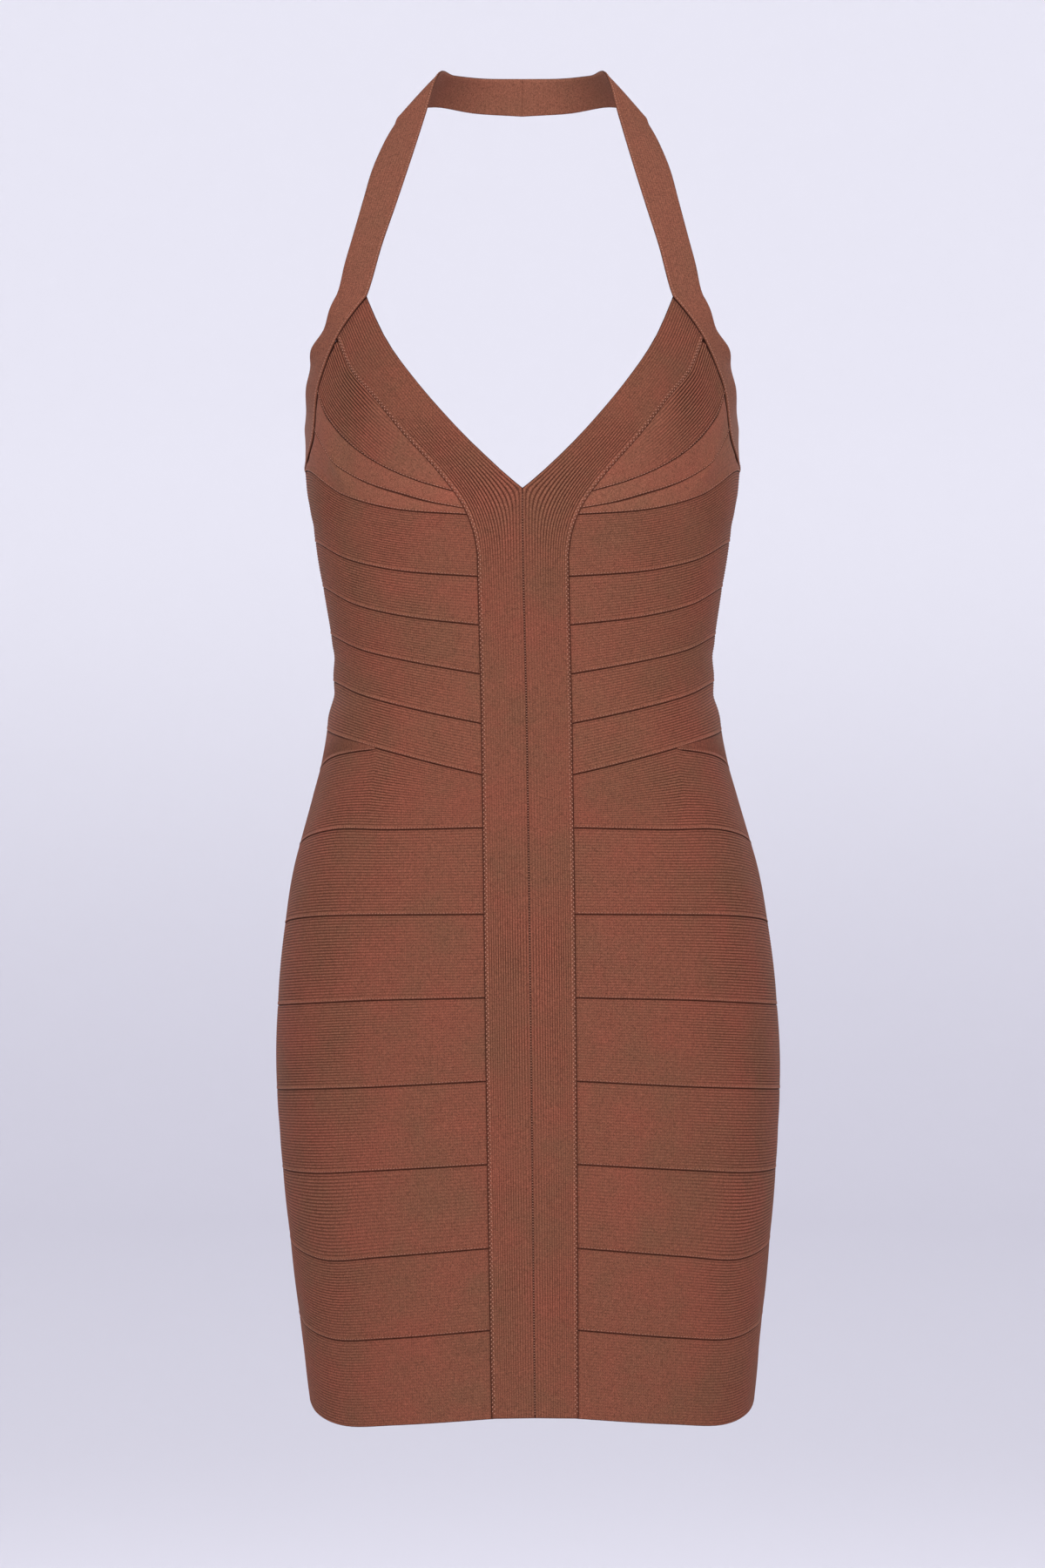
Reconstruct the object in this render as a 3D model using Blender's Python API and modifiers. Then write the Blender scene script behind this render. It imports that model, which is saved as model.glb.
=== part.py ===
"""Halter-neck bandage dress, hollow and in its worn shape.

The dress is cut from strips of ribbed bandage knit.  Two long strips run from the
halter straps down the V neck and on, side by side, to the hem.  On each side, three
cup bands, slanting midriff bands and level skirt bands run from that strip round the
side to the centre back.  A halter strap goes over each shoulder to the nape.

Units are metres, +Z is up and the front faces -Y.  The origin is the middle of the
halter at the nape, which is where the wearer's neck holds the dress.  Tables are in
millimetres and degrees: a "drop" is how far a point lies below the nape, and a "turn"
is the angle round the figure, from 0 at the centre front to 180 at the centre back.
"""

from math import cos, radians, sin

import bpy
import numpy as np

COLLECTION = "bodycon_dress"
MM = 0.001

# ---- cloth and seams -------------------------------------------------------
WALL = 1.6            # thickness of the bandage knit
SEAM_INSET = 0.25     # each piece stops this far short of its seam line
STRIP_INSET = 0.3     # the long strips bend more, so they stop a little shorter
STRAP_INSET = 0.45    # and the straps bend most
STEP = 0.5            # a band's lower edge stands this far over the next band
STEP_SHARE = 0.12     # share of a band's height that ramps out to that step
STEP_FULL_HEIGHT = 30.0    # a band lower than this has less of a step
STRAP_WIDTH = 25.0    # halter strap and back top band
STRAP_CROWN = 0.5     # the straps are this much fuller along their middle
RIB_COUNT = 14        # ribs across a long strip
RIB_HEIGHT = 0.45     # how far a rib stands over the groove beside it
CUP_RIB_COUNT = 14    # ribs across an upper cup band
PLAIN_STRIDE = 4      # steps of a ribbed outside to one of its plain inside
COLUMN_TURN = 9.0     # degrees between the columns of points round a band
FIRST_COLUMN = 18.0   # the first of them past the long strip
# shares of the way down a piece, or round it, at which its points lie
BAND_ROWS = (0.0, 0.45, 1.0 - STEP_SHARE, 1.0)
LOWER_CUP_ROWS = (0.0, 0.3, 0.48, 0.62, 0.74, 0.84, 0.93, 1.0)
MIDDLE_CUP_ROWS = np.linspace(0.0, 1.0, 4)
CUP_COLUMNS = np.linspace(0.0, 1.0, 13)
UPPER_CUP_COLUMNS = np.linspace(0.0, 1.0, 11)
BACK_TOP_ROWS = np.linspace(0.0, 1.0, 3)
BACK_TOP_COLUMNS = np.linspace(0.0, 1.0, 11)

# ---- the figure that fills the dress ---------------------------------------
NAPE_BACK = 66.0      # the nape lies this far behind the figure's side line
RING_POWER = 2.25     # 2 is an ellipse, more is squarer
# how far the dress hangs to the left of the centre line: drop, sway
SWAY = ((-15.0, 0.0), (30.0, -0.5), (150.0, -1.8), (190.0, -1.4), (260.0, 0.0), (330.0, 0.0),
        (890.0, 6.5))
TURN_OF_SKIRT = 1.0   # degrees that the skirt is turned about the figure
TURN_START, TURN_END = 300.0, 420.0

# drop, half breadth, front depth, back depth
FIGURE = np.array([
    (120.0, 150.0, 62.0, 62.0),
    (150.0, 150.0, 74.0, 70.0),      # above the cups
    (190.0, 146.0, 88.0, 85.0),
    (220.0, 144.5, 93.0, 93.0),
    (253.0, 145.6, 96.0, 98.0),      # underarm
    (295.0, 140.4, 94.0, 97.0),      # under the bust
    (330.0, 134.8, 91.0, 92.0),
    (365.0, 129.0, 88.0, 86.0),
    (396.0, 126.4, 87.0, 82.0),      # waist
    (412.0, 127.4, 88.0, 81.5),
    (426.0, 130.4, 90.0, 82.0),
    (447.0, 133.6, 93.0, 85.0),
    (479.0, 141.6, 98.0, 93.0),
    (522.0, 153.8, 103.0, 107.0),
    (575.0, 162.6, 106.0, 120.0),
    (627.0, 167.2, 107.0, 124.0),
    (665.0, 168.0, 107.0, 121.0),    # hips
    (714.0, 165.4, 106.0, 113.0),
    (773.0, 159.9, 103.0, 104.0),
    (825.0, 154.4, 100.0, 98.0),
    (890.0, 147.2, 97.0, 94.0),      # hem
])

# the cups: a rounded mound on each side of a general figure
CUP_REACH = 86.0      # from the centre line to the fullest point
CUP_DROP = 226.0
CUP_HEIGHT = 27.0
CUP_BREADTH = 50.0
CUP_RISE = 62.0       # how far the mound fades out upward
CUP_FALL = 40.0       # and downward
CUP_TIP = 3.0         # the upper cup starts this far below the top of its seam

# ---- seam lines round the figure: drops at these turns ---------------------
SEAM_TURNS = (8.0, 35.0, 55.0, 75.0, 90.0, 180.0)
SEAMS = {
    # name          strip    35     55     75    side   back
    "cup_base":    (296.5, 291.0, 280.0, 263.5, 262.0, 301.0),
    "midriff_1":   (336.0, 331.0, 323.0, 311.5, 308.0, 330.0),
    "midriff_2":   (367.5, 360.5, 352.5, 341.5, 338.0, 361.0),
    "midriff_3":   (399.5, 389.5, 382.0, 373.0, 369.5, 392.0),
    "midriff_4":   (431.5, 419.5, 411.5, 403.5, 401.0, 422.0),
    "midriff_5":   (464.5, 450.5, 442.0, 436.0, 433.0, 448.0),
    "skirt_1":     (497.5, 499.0, 499.0, 504.5, 511.0, 514.0),
    "skirt_2":     (553.0, 554.0, 555.5, 559.0, 563.0, 567.0),
    "skirt_3":     (606.5, 609.0, 612.0, 615.0, 617.0, 621.0),
    "skirt_4":     (660.0, 665.0, 668.0, 671.0, 673.0, 676.0),
    "skirt_5":     (713.5, 719.0, 723.0, 724.5, 725.0, 729.0),
    "skirt_6":     (767.5, 775.0, 780.0, 775.5, 771.0, 781.0),
    "skirt_7":     (820.5, 828.0, 832.0, 827.0, 822.0, 833.0),
    "hem":         (878.5, 885.0, 889.0, 885.0, 878.0, 884.0),
}
# the band between the last slanting seam and the first level one opens at the sides
WEDGE_START = 45.0
WEDGE_OPENING = ((45.0, 1.0), (55.0, 6.5), (72.0, 16.0), (90.0, 28.0), (180.0, 32.0))
SEAM_START_PASSES = 6     # passes that settle where a seam leaves the long strip

# ---- lines of the neck and cups: turn, drop --------------------------------
NECK_EDGE = ((39.5, 152.0), (33.0, 185.0), (24.5, 212.5), (14.5, 240.0),
             (5.5, 264.0), (1.5, 275.0), (0.0, 279.0))
CUP_SEAM = ((52.5, 178.0), (46.0, 205.0), (40.0, 218.0), (30.0, 242.5),
            (19.5, 269.0), (13.5, 290.0), (11.0, 307.0), (10.1, 324.0))
UPPER_CUP_SEAM = ((15.7, 281.0), (25.0, 274.5), (33.5, 267.0), (41.5, 258.0),
                  (49.0, 247.5), (55.5, 237.0), (61.8, 225.7), (66.5, 211.5))
LOWER_CUP_SEAM = ((13.1, 292.0), (22.5, 287.5), (31.0, 282.0), (40.2, 276.0),
                  (48.8, 268.5), (56.7, 258.5), (63.3, 246.5), (69.6, 235.5))

# ---- the long strips -------------------------------------------------------
# past the cups, the strip's outer edge: drop, reach from the centre line
STRIP_EDGE = ((324.0, 29.2), (431.0, 29.0), (660.0, 28.7), (890.0, 27.5))
# drops of the inner and outer edge where a line across the strip meets them
STRIP_SECTIONS = ((152.0, 178.0), (185.0, 197.0), (200.0, 215.0), (212.0, 230.0),
                  (226.0, 245.0), (240.0, 259.0), (252.0, 271.0), (264.0, 284.0),
                  (275.0, 296.0), (279.0, 306.0), (290.0, 317.0), (305.0, 327.0),
                  (330.0, 342.0), (365.0, 368.0), (400.0, 400.0), (520.0, 520.0),
                  (640.0, 640.0), (760.0, 760.0), (878.0, 878.5))
CURVED_SECTIONS, CURVED_STEPS, STRAIGHT_STEPS = 14, 25, 4

# ---- the halter straps -----------------------------------------------------
# from the nape to the cups: reach, depth behind the side line and drop of each edge
#                neck edge               outer edge
STRAP_OVER_SHOULDER = (
    ((0.0, 62.0, -12.0),     (0.0, 70.0, 12.0)),
    ((26.0, 57.0, -11.5),    (33.0, 68.0, 10.0)),
    ((46.0, 37.0, -10.0),    (61.0, 46.0, 9.0)),
    ((56.0, 8.0, -6.5),      (80.5, 2.0, 21.5)),
    ((64.0, -7.0, 22.0),     (85.5, -6.0, 30.0)),
    ((69.0, -19.0, 41.5),    (91.5, -15.0, 42.5)),
    ((75.0, -31.0, 63.5),    (99.0, -25.0, 62.5)),
    ((82.5, -43.0, 89.5),    (104.5, -35.0, 85.0)),
    ((91.0, -54.0, 117.5),   (111.5, -44.0, 113.5)),
)
# along the armhole: turn and drop of the inner edge, turn and drop of the armhole edge
STRAP_ALONG_ARMHOLE = (
    (39.5, 152.0, 51.5, 150.0),
    (45.5, 164.0, 56.0, 164.0),
    (51.5, 176.0, 62.0, 175.0),
    (56.5, 187.0, 69.0, 186.0),
    (61.5, 199.0, 73.0, 195.0),
    (66.5, 211.5, 76.0, 205.5),
    (68.5, 221.0, 79.0, 214.5),
    (69.5, 234.0, 83.5, 224.0),
    (71.0, 244.0, 87.5, 230.5),
    (75.0, 251.5, 92.0, 234.5),
    (81.0, 258.0, 97.0, 236.5),
    (88.0, 262.0, 101.0, 238.0),
)
STRAP_END_TURN = 105.0    # where the strap meets the back top band
SHOULDER_STEPS = 18
ARMHOLE_STEPS = 20
UNDERARM_SHARES = (0.5, 1.0)

# ---- finishes: colour (linear RGB), roughness ------------------------------
KNIT_COLOUR = (0.275, 0.098, 0.062)
STRAP_COLOUR = (0.262, 0.092, 0.058)
KNIT_ROUGHNESS = 0.78


# ---- curves ----------------------------------------------------------------
def smooth(xs, ys, x):
    """Value at x of the smooth curve through the points (xs, ys)."""
    xs, ys = np.asarray(xs, float), np.asarray(ys, float)
    run = np.diff(xs)
    slope = np.diff(ys) / run
    tangent = np.empty_like(ys)
    tangent[1:-1] = (run[1:] * slope[:-1] + run[:-1] * slope[1:]) / (run[1:] + run[:-1])
    tangent[0], tangent[-1] = slope[0], slope[-1]
    i = int(np.clip(np.searchsorted(xs, x) - 1, 0, len(xs) - 2))
    t = (x - xs[i]) / run[i]
    start = (2 * t**3 - 3 * t**2 + 1) * ys[i] + (t**3 - 2 * t**2 + t) * run[i] * tangent[i]
    end = (3 * t**2 - 2 * t**3) * ys[i + 1] + (t**3 - t**2) * run[i] * tangent[i + 1]
    return start + end


def ramp(start, end, x):
    """0 before start, 1 after end, and straight between."""
    return min(max((x - start) / (end - start), 0.0), 1.0)


def figure_point(turn, drop):
    """Point of the filled dress, in millimetres, with y behind the side line."""
    half, front, back = (smooth(FIGURE[:, 0], FIGURE[:, k], drop) for k in (1, 2, 3))
    s, c = sin(radians(turn)), cos(radians(turn))
    x = half * abs(s) ** (2 / RING_POWER)
    depth = front if c > 0 else -back
    y = -depth * abs(c) ** (2 / RING_POWER)
    fade = CUP_RISE if drop < CUP_DROP else CUP_FALL
    mound = CUP_HEIGHT * np.exp(-((drop - CUP_DROP) / fade) ** 2)
    across = sum(np.exp(-((x - side * CUP_REACH) / CUP_BREADTH) ** 2) for side in (-1, 1))
    return np.array((x, y - mound * across * max(c, 0.0) ** 0.6, -drop))


def turn_at_reach(reach, drop):
    """Turn at which the front of the figure is this far from the centre line."""
    half = smooth(FIGURE[:, 0], FIGURE[:, 1], drop)
    return np.degrees(np.arcsin((reach / half) ** (RING_POWER / 2)))


def seam_drop(name, turn):
    """Drop of a seam round the figure at a turn, level where it crosses the back."""
    drops = SEAMS[name]
    return smooth(SEAM_TURNS + (270.0,), drops + (drops[-2],), turn)


def line_turn(line, drop):
    """Turn at a drop of a line that is given as (turn, drop) rows."""
    turns, drops = zip(*sorted(line, key=lambda row: row[1]))
    return smooth(drops, turns, drop)


def strip_outer_turn(drop):
    """Turn of a long strip's outer edge: the cup seam, then the straight run."""
    if drop < CUP_SEAM[-1][1]:
        return line_turn(CUP_SEAM, drop)
    drops, reaches = zip(*STRIP_EDGE)
    return turn_at_reach(smooth(drops, reaches, drop), drop)


def armhole_seam_turn(drop):
    """Turn of the strap's inner edge, along which the cup bands end."""
    return line_turn([row[:2] for row in STRAP_ALONG_ARMHOLE], drop)


def wedge_drop(turn):
    """Drop of the seam under the wedge that opens at the sides."""
    turns, openings = zip(*WEDGE_OPENING)
    opening = smooth(turns, openings, turn) if turn >= WEDGE_START else 0.0
    return seam_drop("midriff_5", turn) + opening


# ---- sheets of points ------------------------------------------------------
def coons(top, bottom, start, end, rows, columns):
    """Turn and drop over a patch that its four edge lines bound."""
    patch = np.empty((len(rows), len(columns), 2))
    corner = {(w, t): np.array(edge(t), float)
              for w, edge in ((0, top), (1, bottom)) for t in (0, 1)}
    for i, w in enumerate(rows):
        for j, t in enumerate(columns):
            across = (1 - w) * np.array(top(t)) + w * np.array(bottom(t))
            along = (1 - t) * np.array(start(w)) + t * np.array(end(w))
            corners = ((1 - w) * ((1 - t) * corner[0, 0] + t * corner[0, 1])
                       + w * ((1 - t) * corner[1, 0] + t * corner[1, 1]))
            patch[i, j] = across + along - corners
    return patch


def on_figure(patch):
    """Points of the figure for a grid of turns and drops."""
    return np.array([[figure_point(*cell) for cell in row] for row in patch])


def normals(grid):
    """Outward unit normal at each point of a grid whose rows run downward."""
    down = np.gradient(grid, axis=0)
    along = np.gradient(grid, axis=1)
    normal = np.cross(down, along)
    return normal / np.linalg.norm(normal, axis=2, keepdims=True)


def inset_border(grid, distance):
    """Draw the border of a grid of points in by a distance, mitred at its corners."""
    rows, columns = grid.shape[:2]
    normal = normals(grid)
    shift = np.zeros_like(grid)
    edges = [([(0, j) for j in range(columns)], -1), ([(rows - 1, j) for j in range(columns)], 1),
             ([(i, 0) for i in range(rows)], 1), ([(i, columns - 1) for i in range(rows)], -1)]
    seen = {}
    for cells, sign in edges:
        line = np.array([grid[cell] for cell in cells])
        tangent = np.gradient(line, axis=0)
        for cell, direction in zip(cells, tangent):
            inward = sign * np.cross(normal[cell], direction)
            seen.setdefault(cell, []).append(inward / np.linalg.norm(inward))
    for cell, sides in seen.items():
        total = sum(sides)
        if len(sides) == 2:
            total = total / (1.0 + float(np.dot(*sides)))
        shift[cell] = distance * total
    return grid + shift


def worn(points, side):
    """Place points, in millimetres, on the left (+1) or right (-1) side, as worn."""
    placed = []
    drops, sways = zip(*SWAY)
    for x, y, z in points:
        x = side * x + np.interp(-z, drops, sways)
        angle = radians(TURN_OF_SKIRT * ramp(TURN_START, TURN_END, -z))
        placed.append(((x * cos(angle) - y * sin(angle)) * MM,
                       (x * sin(angle) + y * cos(angle) - NAPE_BACK) * MM,
                       z * MM))
    return placed


# ---- objects ---------------------------------------------------------------
def finish(name, colour):
    """Bandage knit in one colour: matt, and not metallic."""
    material = bpy.data.materials.new(name)
    material.use_nodes = True
    shader = material.node_tree.nodes["Principled BSDF"]
    shader.inputs["Base Color"].default_value = (*colour, 1.0)
    shader.inputs["Roughness"].default_value = KNIT_ROUGHNESS
    shader.inputs["Metallic"].default_value = 0.0
    return material


def add_object(name, mesh, colour):
    """Give a mesh its own finish and put it in the dress's collection."""
    mesh.materials.append(finish(name + "_knit", colour))
    obj = bpy.data.objects.new(name, mesh)
    bpy.data.collections[COLLECTION].objects.link(obj)
    return obj


def grid_faces(rows, columns, first=0):
    """Quads over a grid of vertices, wound so that they face outward."""
    return [(first + i * columns + j, first + (i + 1) * columns + j,
             first + (i + 1) * columns + j + 1, first + i * columns + j + 1)
            for i in range(rows - 1) for j in range(columns - 1)]


def sided(grid, side):
    """The grid in the order that keeps it facing outward on either side."""
    return grid if side > 0 else grid[:, ::-1]


def cloth_wall(name, grid, side, colour=KNIT_COLOUR, inset=SEAM_INSET):
    """One piece of cloth: an open sheet of points, thickened inward."""
    sheet = sided(inset_border(grid, inset), side)
    rows, columns = sheet.shape[:2]
    mesh = bpy.data.meshes.new(name)
    mesh.from_pydata(worn(sheet.reshape(-1, 3), side), [], grid_faces(rows, columns))
    mesh.shade_smooth()
    obj = add_object(name, mesh, colour)
    wall = obj.modifiers.new("Wall", 'SOLIDIFY')
    wall.thickness = WALL * MM
    wall.offset = -1.0
    return obj


def ribbed_wall(name, grid, side, across_rows, inset=SEAM_INSET):
    """A piece whose outer points are raised in ribs over a plain inside.

    The grid holds two steps for each rib, along its rows or its columns.  The inside
    has one step for every PLAIN_STRIDE of them.
    """
    sheet = inset_border(grid, inset)
    normal = normals(sheet)
    steps = sheet.shape[0] if across_rows else sheet.shape[1]
    crest = np.array([0.0 if k % 2 else -RIB_HEIGHT for k in range(steps)])
    crest = crest[:, None, None] if across_rows else crest[None, :, None]
    outer = sided(sheet + normal * crest, side)
    inner = sheet - normal * WALL
    inner = sided(inner[::PLAIN_STRIDE] if across_rows else inner[:, ::PLAIN_STRIDE], side)
    mesh = bpy.data.meshes.new(name)
    points = worn(outer.reshape(-1, 3), side) + worn(inner.reshape(-1, 3), side)
    mesh.from_pydata(points, [], wall_faces(outer.shape[:2], inner.shape[:2]))
    mesh.shade_smooth()
    return add_object(name, mesh, KNIT_COLOUR)


def border(rows, columns, first, edge):
    """Vertex numbers along one edge of a grid, in order."""
    lines = {
        "top": [first + j for j in range(columns)],
        "bottom": [first + (rows - 1) * columns + j for j in range(columns)],
        "start": [first + i * columns for i in range(rows)],
        "end": [first + i * columns + columns - 1 for i in range(rows)],
    }
    return lines[edge]


def wall_faces(outer_shape, inner_shape):
    """Faces of a closed wall between an outer grid and a plainer inner one."""
    count = outer_shape[0] * outer_shape[1]
    faces = grid_faces(*outer_shape)
    faces += [face[::-1] for face in grid_faces(*inner_shape, first=count)]
    for edge, turned in (("top", False), ("bottom", True), ("start", True), ("end", False)):
        out = border(*outer_shape, 0, edge)
        back = border(*inner_shape, count, edge)
        stride = (len(out) - 1) // (len(back) - 1)
        for k in range(len(back) - 1):
            rim = (*out[k * stride:(k + 1) * stride + 1], back[k + 1], back[k])
            faces.append(rim[::-1] if turned else rim)
    return faces


# ---- the pieces ------------------------------------------------------------
def band_grid(top, bottom, first_turn=None):
    """Grid of a band between two seams, from the long strip to the centre back."""
    turns = np.arange(first_turn or FIRST_COLUMN, 180.0 + COLUMN_TURN / 2, COLUMN_TURN)
    grid = []
    for w in BAND_ROWS:
        row = [(turn, (1 - w) * top(turn) + w * bottom(turn)) for turn in turns]
        if first_turn is None:
            drop = (1 - w) * top(strip_start(top)) + w * bottom(strip_start(bottom))
            row.insert(0, (strip_outer_turn(drop), drop))
        grid.append(row)
    grid = on_figure(grid)
    for column, normal in enumerate(normals(grid)[-1]):
        height = np.linalg.norm(grid[-1, column] - grid[0, column])
        grid[-1, column] += normal * STEP * ramp(0.0, STEP_FULL_HEIGHT, height)
    return grid


def strip_start(line):
    """Turn at which a seam leaves the long strip's outer edge."""
    turn = SEAM_TURNS[0]
    for _ in range(SEAM_START_PASSES):
        turn = strip_outer_turn(line(turn))
    return turn


def seam_line(name):
    """A named seam, as its drop at a turn."""
    return lambda turn: seam_drop(name, turn)


def cup_line(line):
    """A cup seam as a function of 0 to 1, from the long strip to the armhole seam."""
    turns, drops = zip(*line)
    span = np.linspace(0, 1, len(line))
    return lambda t: (smooth(span, turns, t), smooth(span, drops, t))


def drop_line(turn_of, first, last):
    """A line that is given by its turn at each drop, as a function of 0 to 1."""
    def edge(t):
        drop = first + (last - first) * t
        return turn_of(drop), drop
    return edge


def make_cups(side, suffix):
    """The upper, middle and lower cup bands of one side."""
    upper, lower = cup_line(UPPER_CUP_SEAM), cup_line(LOWER_CUP_SEAM)
    apex = CUP_SEAM[0][1] + CUP_TIP
    tip = (strip_outer_turn(apex), apex), (armhole_seam_turn(apex), apex)
    rows = np.linspace(0, 1, 2 * CUP_RIB_COUNT + 1)
    patch = coons(lambda t: [a + (b - a) * t for a, b in zip(*tip)], upper,
                  drop_line(strip_outer_turn, apex, upper(0)[1]),
                  drop_line(armhole_seam_turn, apex, upper(1)[1]), rows, UPPER_CUP_COLUMNS)
    ribbed_wall("cup_band_upper_" + suffix, on_figure(patch), side, across_rows=True)

    patch = coons(upper, lower,
                  drop_line(strip_outer_turn, upper(0)[1], lower(0)[1]),
                  drop_line(armhole_seam_turn, upper(1)[1], lower(1)[1]),
                  MIDDLE_CUP_ROWS, CUP_COLUMNS)
    cloth_wall("cup_band_middle_" + suffix, on_figure(patch), side)

    base = seam_line("cup_base")
    begin, end = strip_start(base), STRAP_ALONG_ARMHOLE[-1][0]

    def base_line(t):
        turn = begin + (end - begin) * t
        return turn, base(turn)

    patch = coons(lower, base_line,
                  drop_line(strip_outer_turn, lower(0)[1], base_line(0)[1]),
                  drop_line(armhole_seam_turn, lower(1)[1], base_line(1)[1]),
                  LOWER_CUP_ROWS, CUP_COLUMNS)
    cloth_wall("cup_band_lower_" + suffix, on_figure(patch), side)


def make_bands(side, suffix):
    """The under-bust, midriff, wedge and skirt bands of one side."""
    names = list(SEAMS)
    for top, bottom in zip(names[:-1], names[1:]):
        upper = wedge_drop if top == "midriff_5" else seam_line(top)
        cloth_wall("band_" + bottom + "_" + suffix, band_grid(upper, seam_line(bottom)), side)
    wedge = band_grid(seam_line("midriff_5"), wedge_drop, first_turn=WEDGE_START)
    cloth_wall("band_hip_wedge_" + suffix, wedge, side)


def make_back_top_band(side, suffix):
    """The strap's width carried on round the back, above the under-bust band."""
    def lower(t):
        turn = STRAP_END_TURN + (180.0 - STRAP_END_TURN) * t
        return turn, seam_drop("cup_base", turn)

    def upper(t):
        turn, drop = lower(t)
        return turn, drop - STRAP_WIDTH

    def end(t):
        return lambda w: (lower(t)[0], upper(t)[1] + STRAP_WIDTH * w)

    patch = coons(upper, lower, end(0), end(1), BACK_TOP_ROWS, BACK_TOP_COLUMNS)
    cloth_wall("back_top_band_" + suffix, on_figure(patch), side, STRAP_COLOUR)


def make_long_strip(side, suffix):
    """The strip that edges the V neck and runs on down the centre front."""
    inner_drops, outer_drops = zip(*STRIP_SECTIONS)
    stations = np.arange(len(STRIP_SECTIONS))
    places = np.concatenate((
        np.linspace(0, CURVED_SECTIONS, CURVED_STEPS + 1),
        np.linspace(CURVED_SECTIONS, stations[-1], STRAIGHT_STEPS + 1)[1:]))
    grid = []
    for at in places:
        inner_drop = smooth(stations, inner_drops, at)
        outer_drop = smooth(stations, outer_drops, at)
        below_neck = inner_drop >= NECK_EDGE[-1][1]
        inner = (0.0 if below_neck else line_turn(NECK_EDGE, inner_drop), inner_drop)
        outer = (strip_outer_turn(outer_drop), outer_drop)
        shares = np.linspace(0, 1, 2 * RIB_COUNT + 1)
        grid.append([figure_point(*(np.array(inner) * (1 - w) + np.array(outer) * w))
                     for w in shares])
    ribbed_wall("long_strip_" + suffix, np.array(grid), side, across_rows=False,
                inset=STRIP_INSET)


def armhole_section(at):
    """The strap's two edges, as turn and drop, at a place along the armhole."""
    stations = np.arange(len(STRAP_ALONG_ARMHOLE))
    columns = list(zip(*STRAP_ALONG_ARMHOLE))
    inner_drop, arm_turn, arm_drop = (smooth(stations, columns[k], at) for k in (1, 2, 3))
    return (armhole_seam_turn(inner_drop), inner_drop), (arm_turn, arm_drop)


def underarm_section(share):
    """The same from the foot of the armhole to the back top band."""
    row = STRAP_ALONG_ARMHOLE[-1]
    inner_turn = row[0] + (STRAP_END_TURN - row[0]) * share
    arm_turn = row[2] + (STRAP_END_TURN - row[2]) * share
    foot_drop = row[3] + (seam_drop("cup_base", STRAP_END_TURN) - STRAP_WIDTH - row[3]) * share
    return (inner_turn, seam_drop("cup_base", inner_turn)), (arm_turn, foot_drop)


def strap_sections():
    """The strap's two edges, as pairs of points, from the nape to the back top band."""
    over = np.array(STRAP_OVER_SHOULDER)
    over[:, :, 2] *= -1.0
    along = [[figure_point(*edge) for edge in armhole_section(k)] for k in (0, 1)]
    knots = np.concatenate((over, np.array(along)))
    last = len(over)
    stations = np.arange(len(knots))
    sections = []
    for at in np.linspace(0, last, SHOULDER_STEPS + 1)[:-1]:
        sections.append([[smooth(stations, knots[:, e, k], at) for k in range(3)]
                         for e in (0, 1)])
    for at in np.linspace(0, len(STRAP_ALONG_ARMHOLE) - 1, ARMHOLE_STEPS + 1):
        sections.append([figure_point(*edge) for edge in armhole_section(at)])
    for share in UNDERARM_SHARES:
        sections.append([figure_point(*edge) for edge in underarm_section(share)])
    return np.array(sections)


def make_halter_strap(side, suffix):
    """The strap from the nape, over the shoulder and along the armhole."""
    sections = strap_sections()
    middle = sections.mean(axis=1, keepdims=True)
    grid = np.concatenate((sections[:, :1], middle, sections[:, 1:]), axis=1)
    grid[:, 1] += normals(grid)[:, 1] * STRAP_CROWN
    cloth_wall("halter_strap_" + suffix, grid, side, STRAP_COLOUR, STRAP_INSET)


def main():
    """Clear the scene and build every piece of both sides."""
    for obj in list(bpy.data.objects):
        bpy.data.objects.remove(obj, do_unlink=True)
    collection = bpy.data.collections.new(COLLECTION)
    bpy.context.scene.collection.children.link(collection)
    for side, suffix in ((1, "left"), (-1, "right")):
        make_long_strip(side, suffix)
        make_cups(side, suffix)
        make_bands(side, suffix)
        make_back_top_band(side, suffix)
        make_halter_strap(side, suffix)


main()
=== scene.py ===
"""Looks of a halter-neck bandage dress: ribbed knit, lapped seams, stitches and studio.

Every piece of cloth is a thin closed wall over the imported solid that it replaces.  Its
outer face carries the ribs, the lapped and rolled edges and soft creases, and its inner
face is plain.  Tables are in millimetres and degrees: a "drop" is how far a point lies
below the nape, and a "turn" is the angle round the figure, from 0 at the centre front
to 180 at the centre back.  Meshes are in metres, +Z up, with the front facing -Y.
"""

import logging
from abc import ABC, abstractmethod
from dataclasses import dataclass, field
from enum import Enum
from math import radians
from typing import Callable, Iterable, NamedTuple, Sequence

import bpy
import numpy as np
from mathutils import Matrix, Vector


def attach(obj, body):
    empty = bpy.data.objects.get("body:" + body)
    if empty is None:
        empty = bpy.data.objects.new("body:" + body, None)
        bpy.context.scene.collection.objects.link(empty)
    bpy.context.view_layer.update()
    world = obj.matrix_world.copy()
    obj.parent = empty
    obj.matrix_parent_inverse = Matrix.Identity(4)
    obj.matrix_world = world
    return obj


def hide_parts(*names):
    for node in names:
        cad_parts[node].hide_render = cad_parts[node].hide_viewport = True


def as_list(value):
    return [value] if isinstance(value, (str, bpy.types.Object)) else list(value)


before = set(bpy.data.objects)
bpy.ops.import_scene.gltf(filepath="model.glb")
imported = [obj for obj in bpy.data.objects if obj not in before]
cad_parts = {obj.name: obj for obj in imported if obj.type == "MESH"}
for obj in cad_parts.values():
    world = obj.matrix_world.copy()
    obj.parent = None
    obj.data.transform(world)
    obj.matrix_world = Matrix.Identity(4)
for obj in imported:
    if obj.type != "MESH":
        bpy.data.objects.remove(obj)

MM = 0.001
LOG = logging.getLogger("bandage_dress")
Array = np.ndarray
Edging = Callable[[Array], Array]
Faces = list[list[int]]
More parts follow.
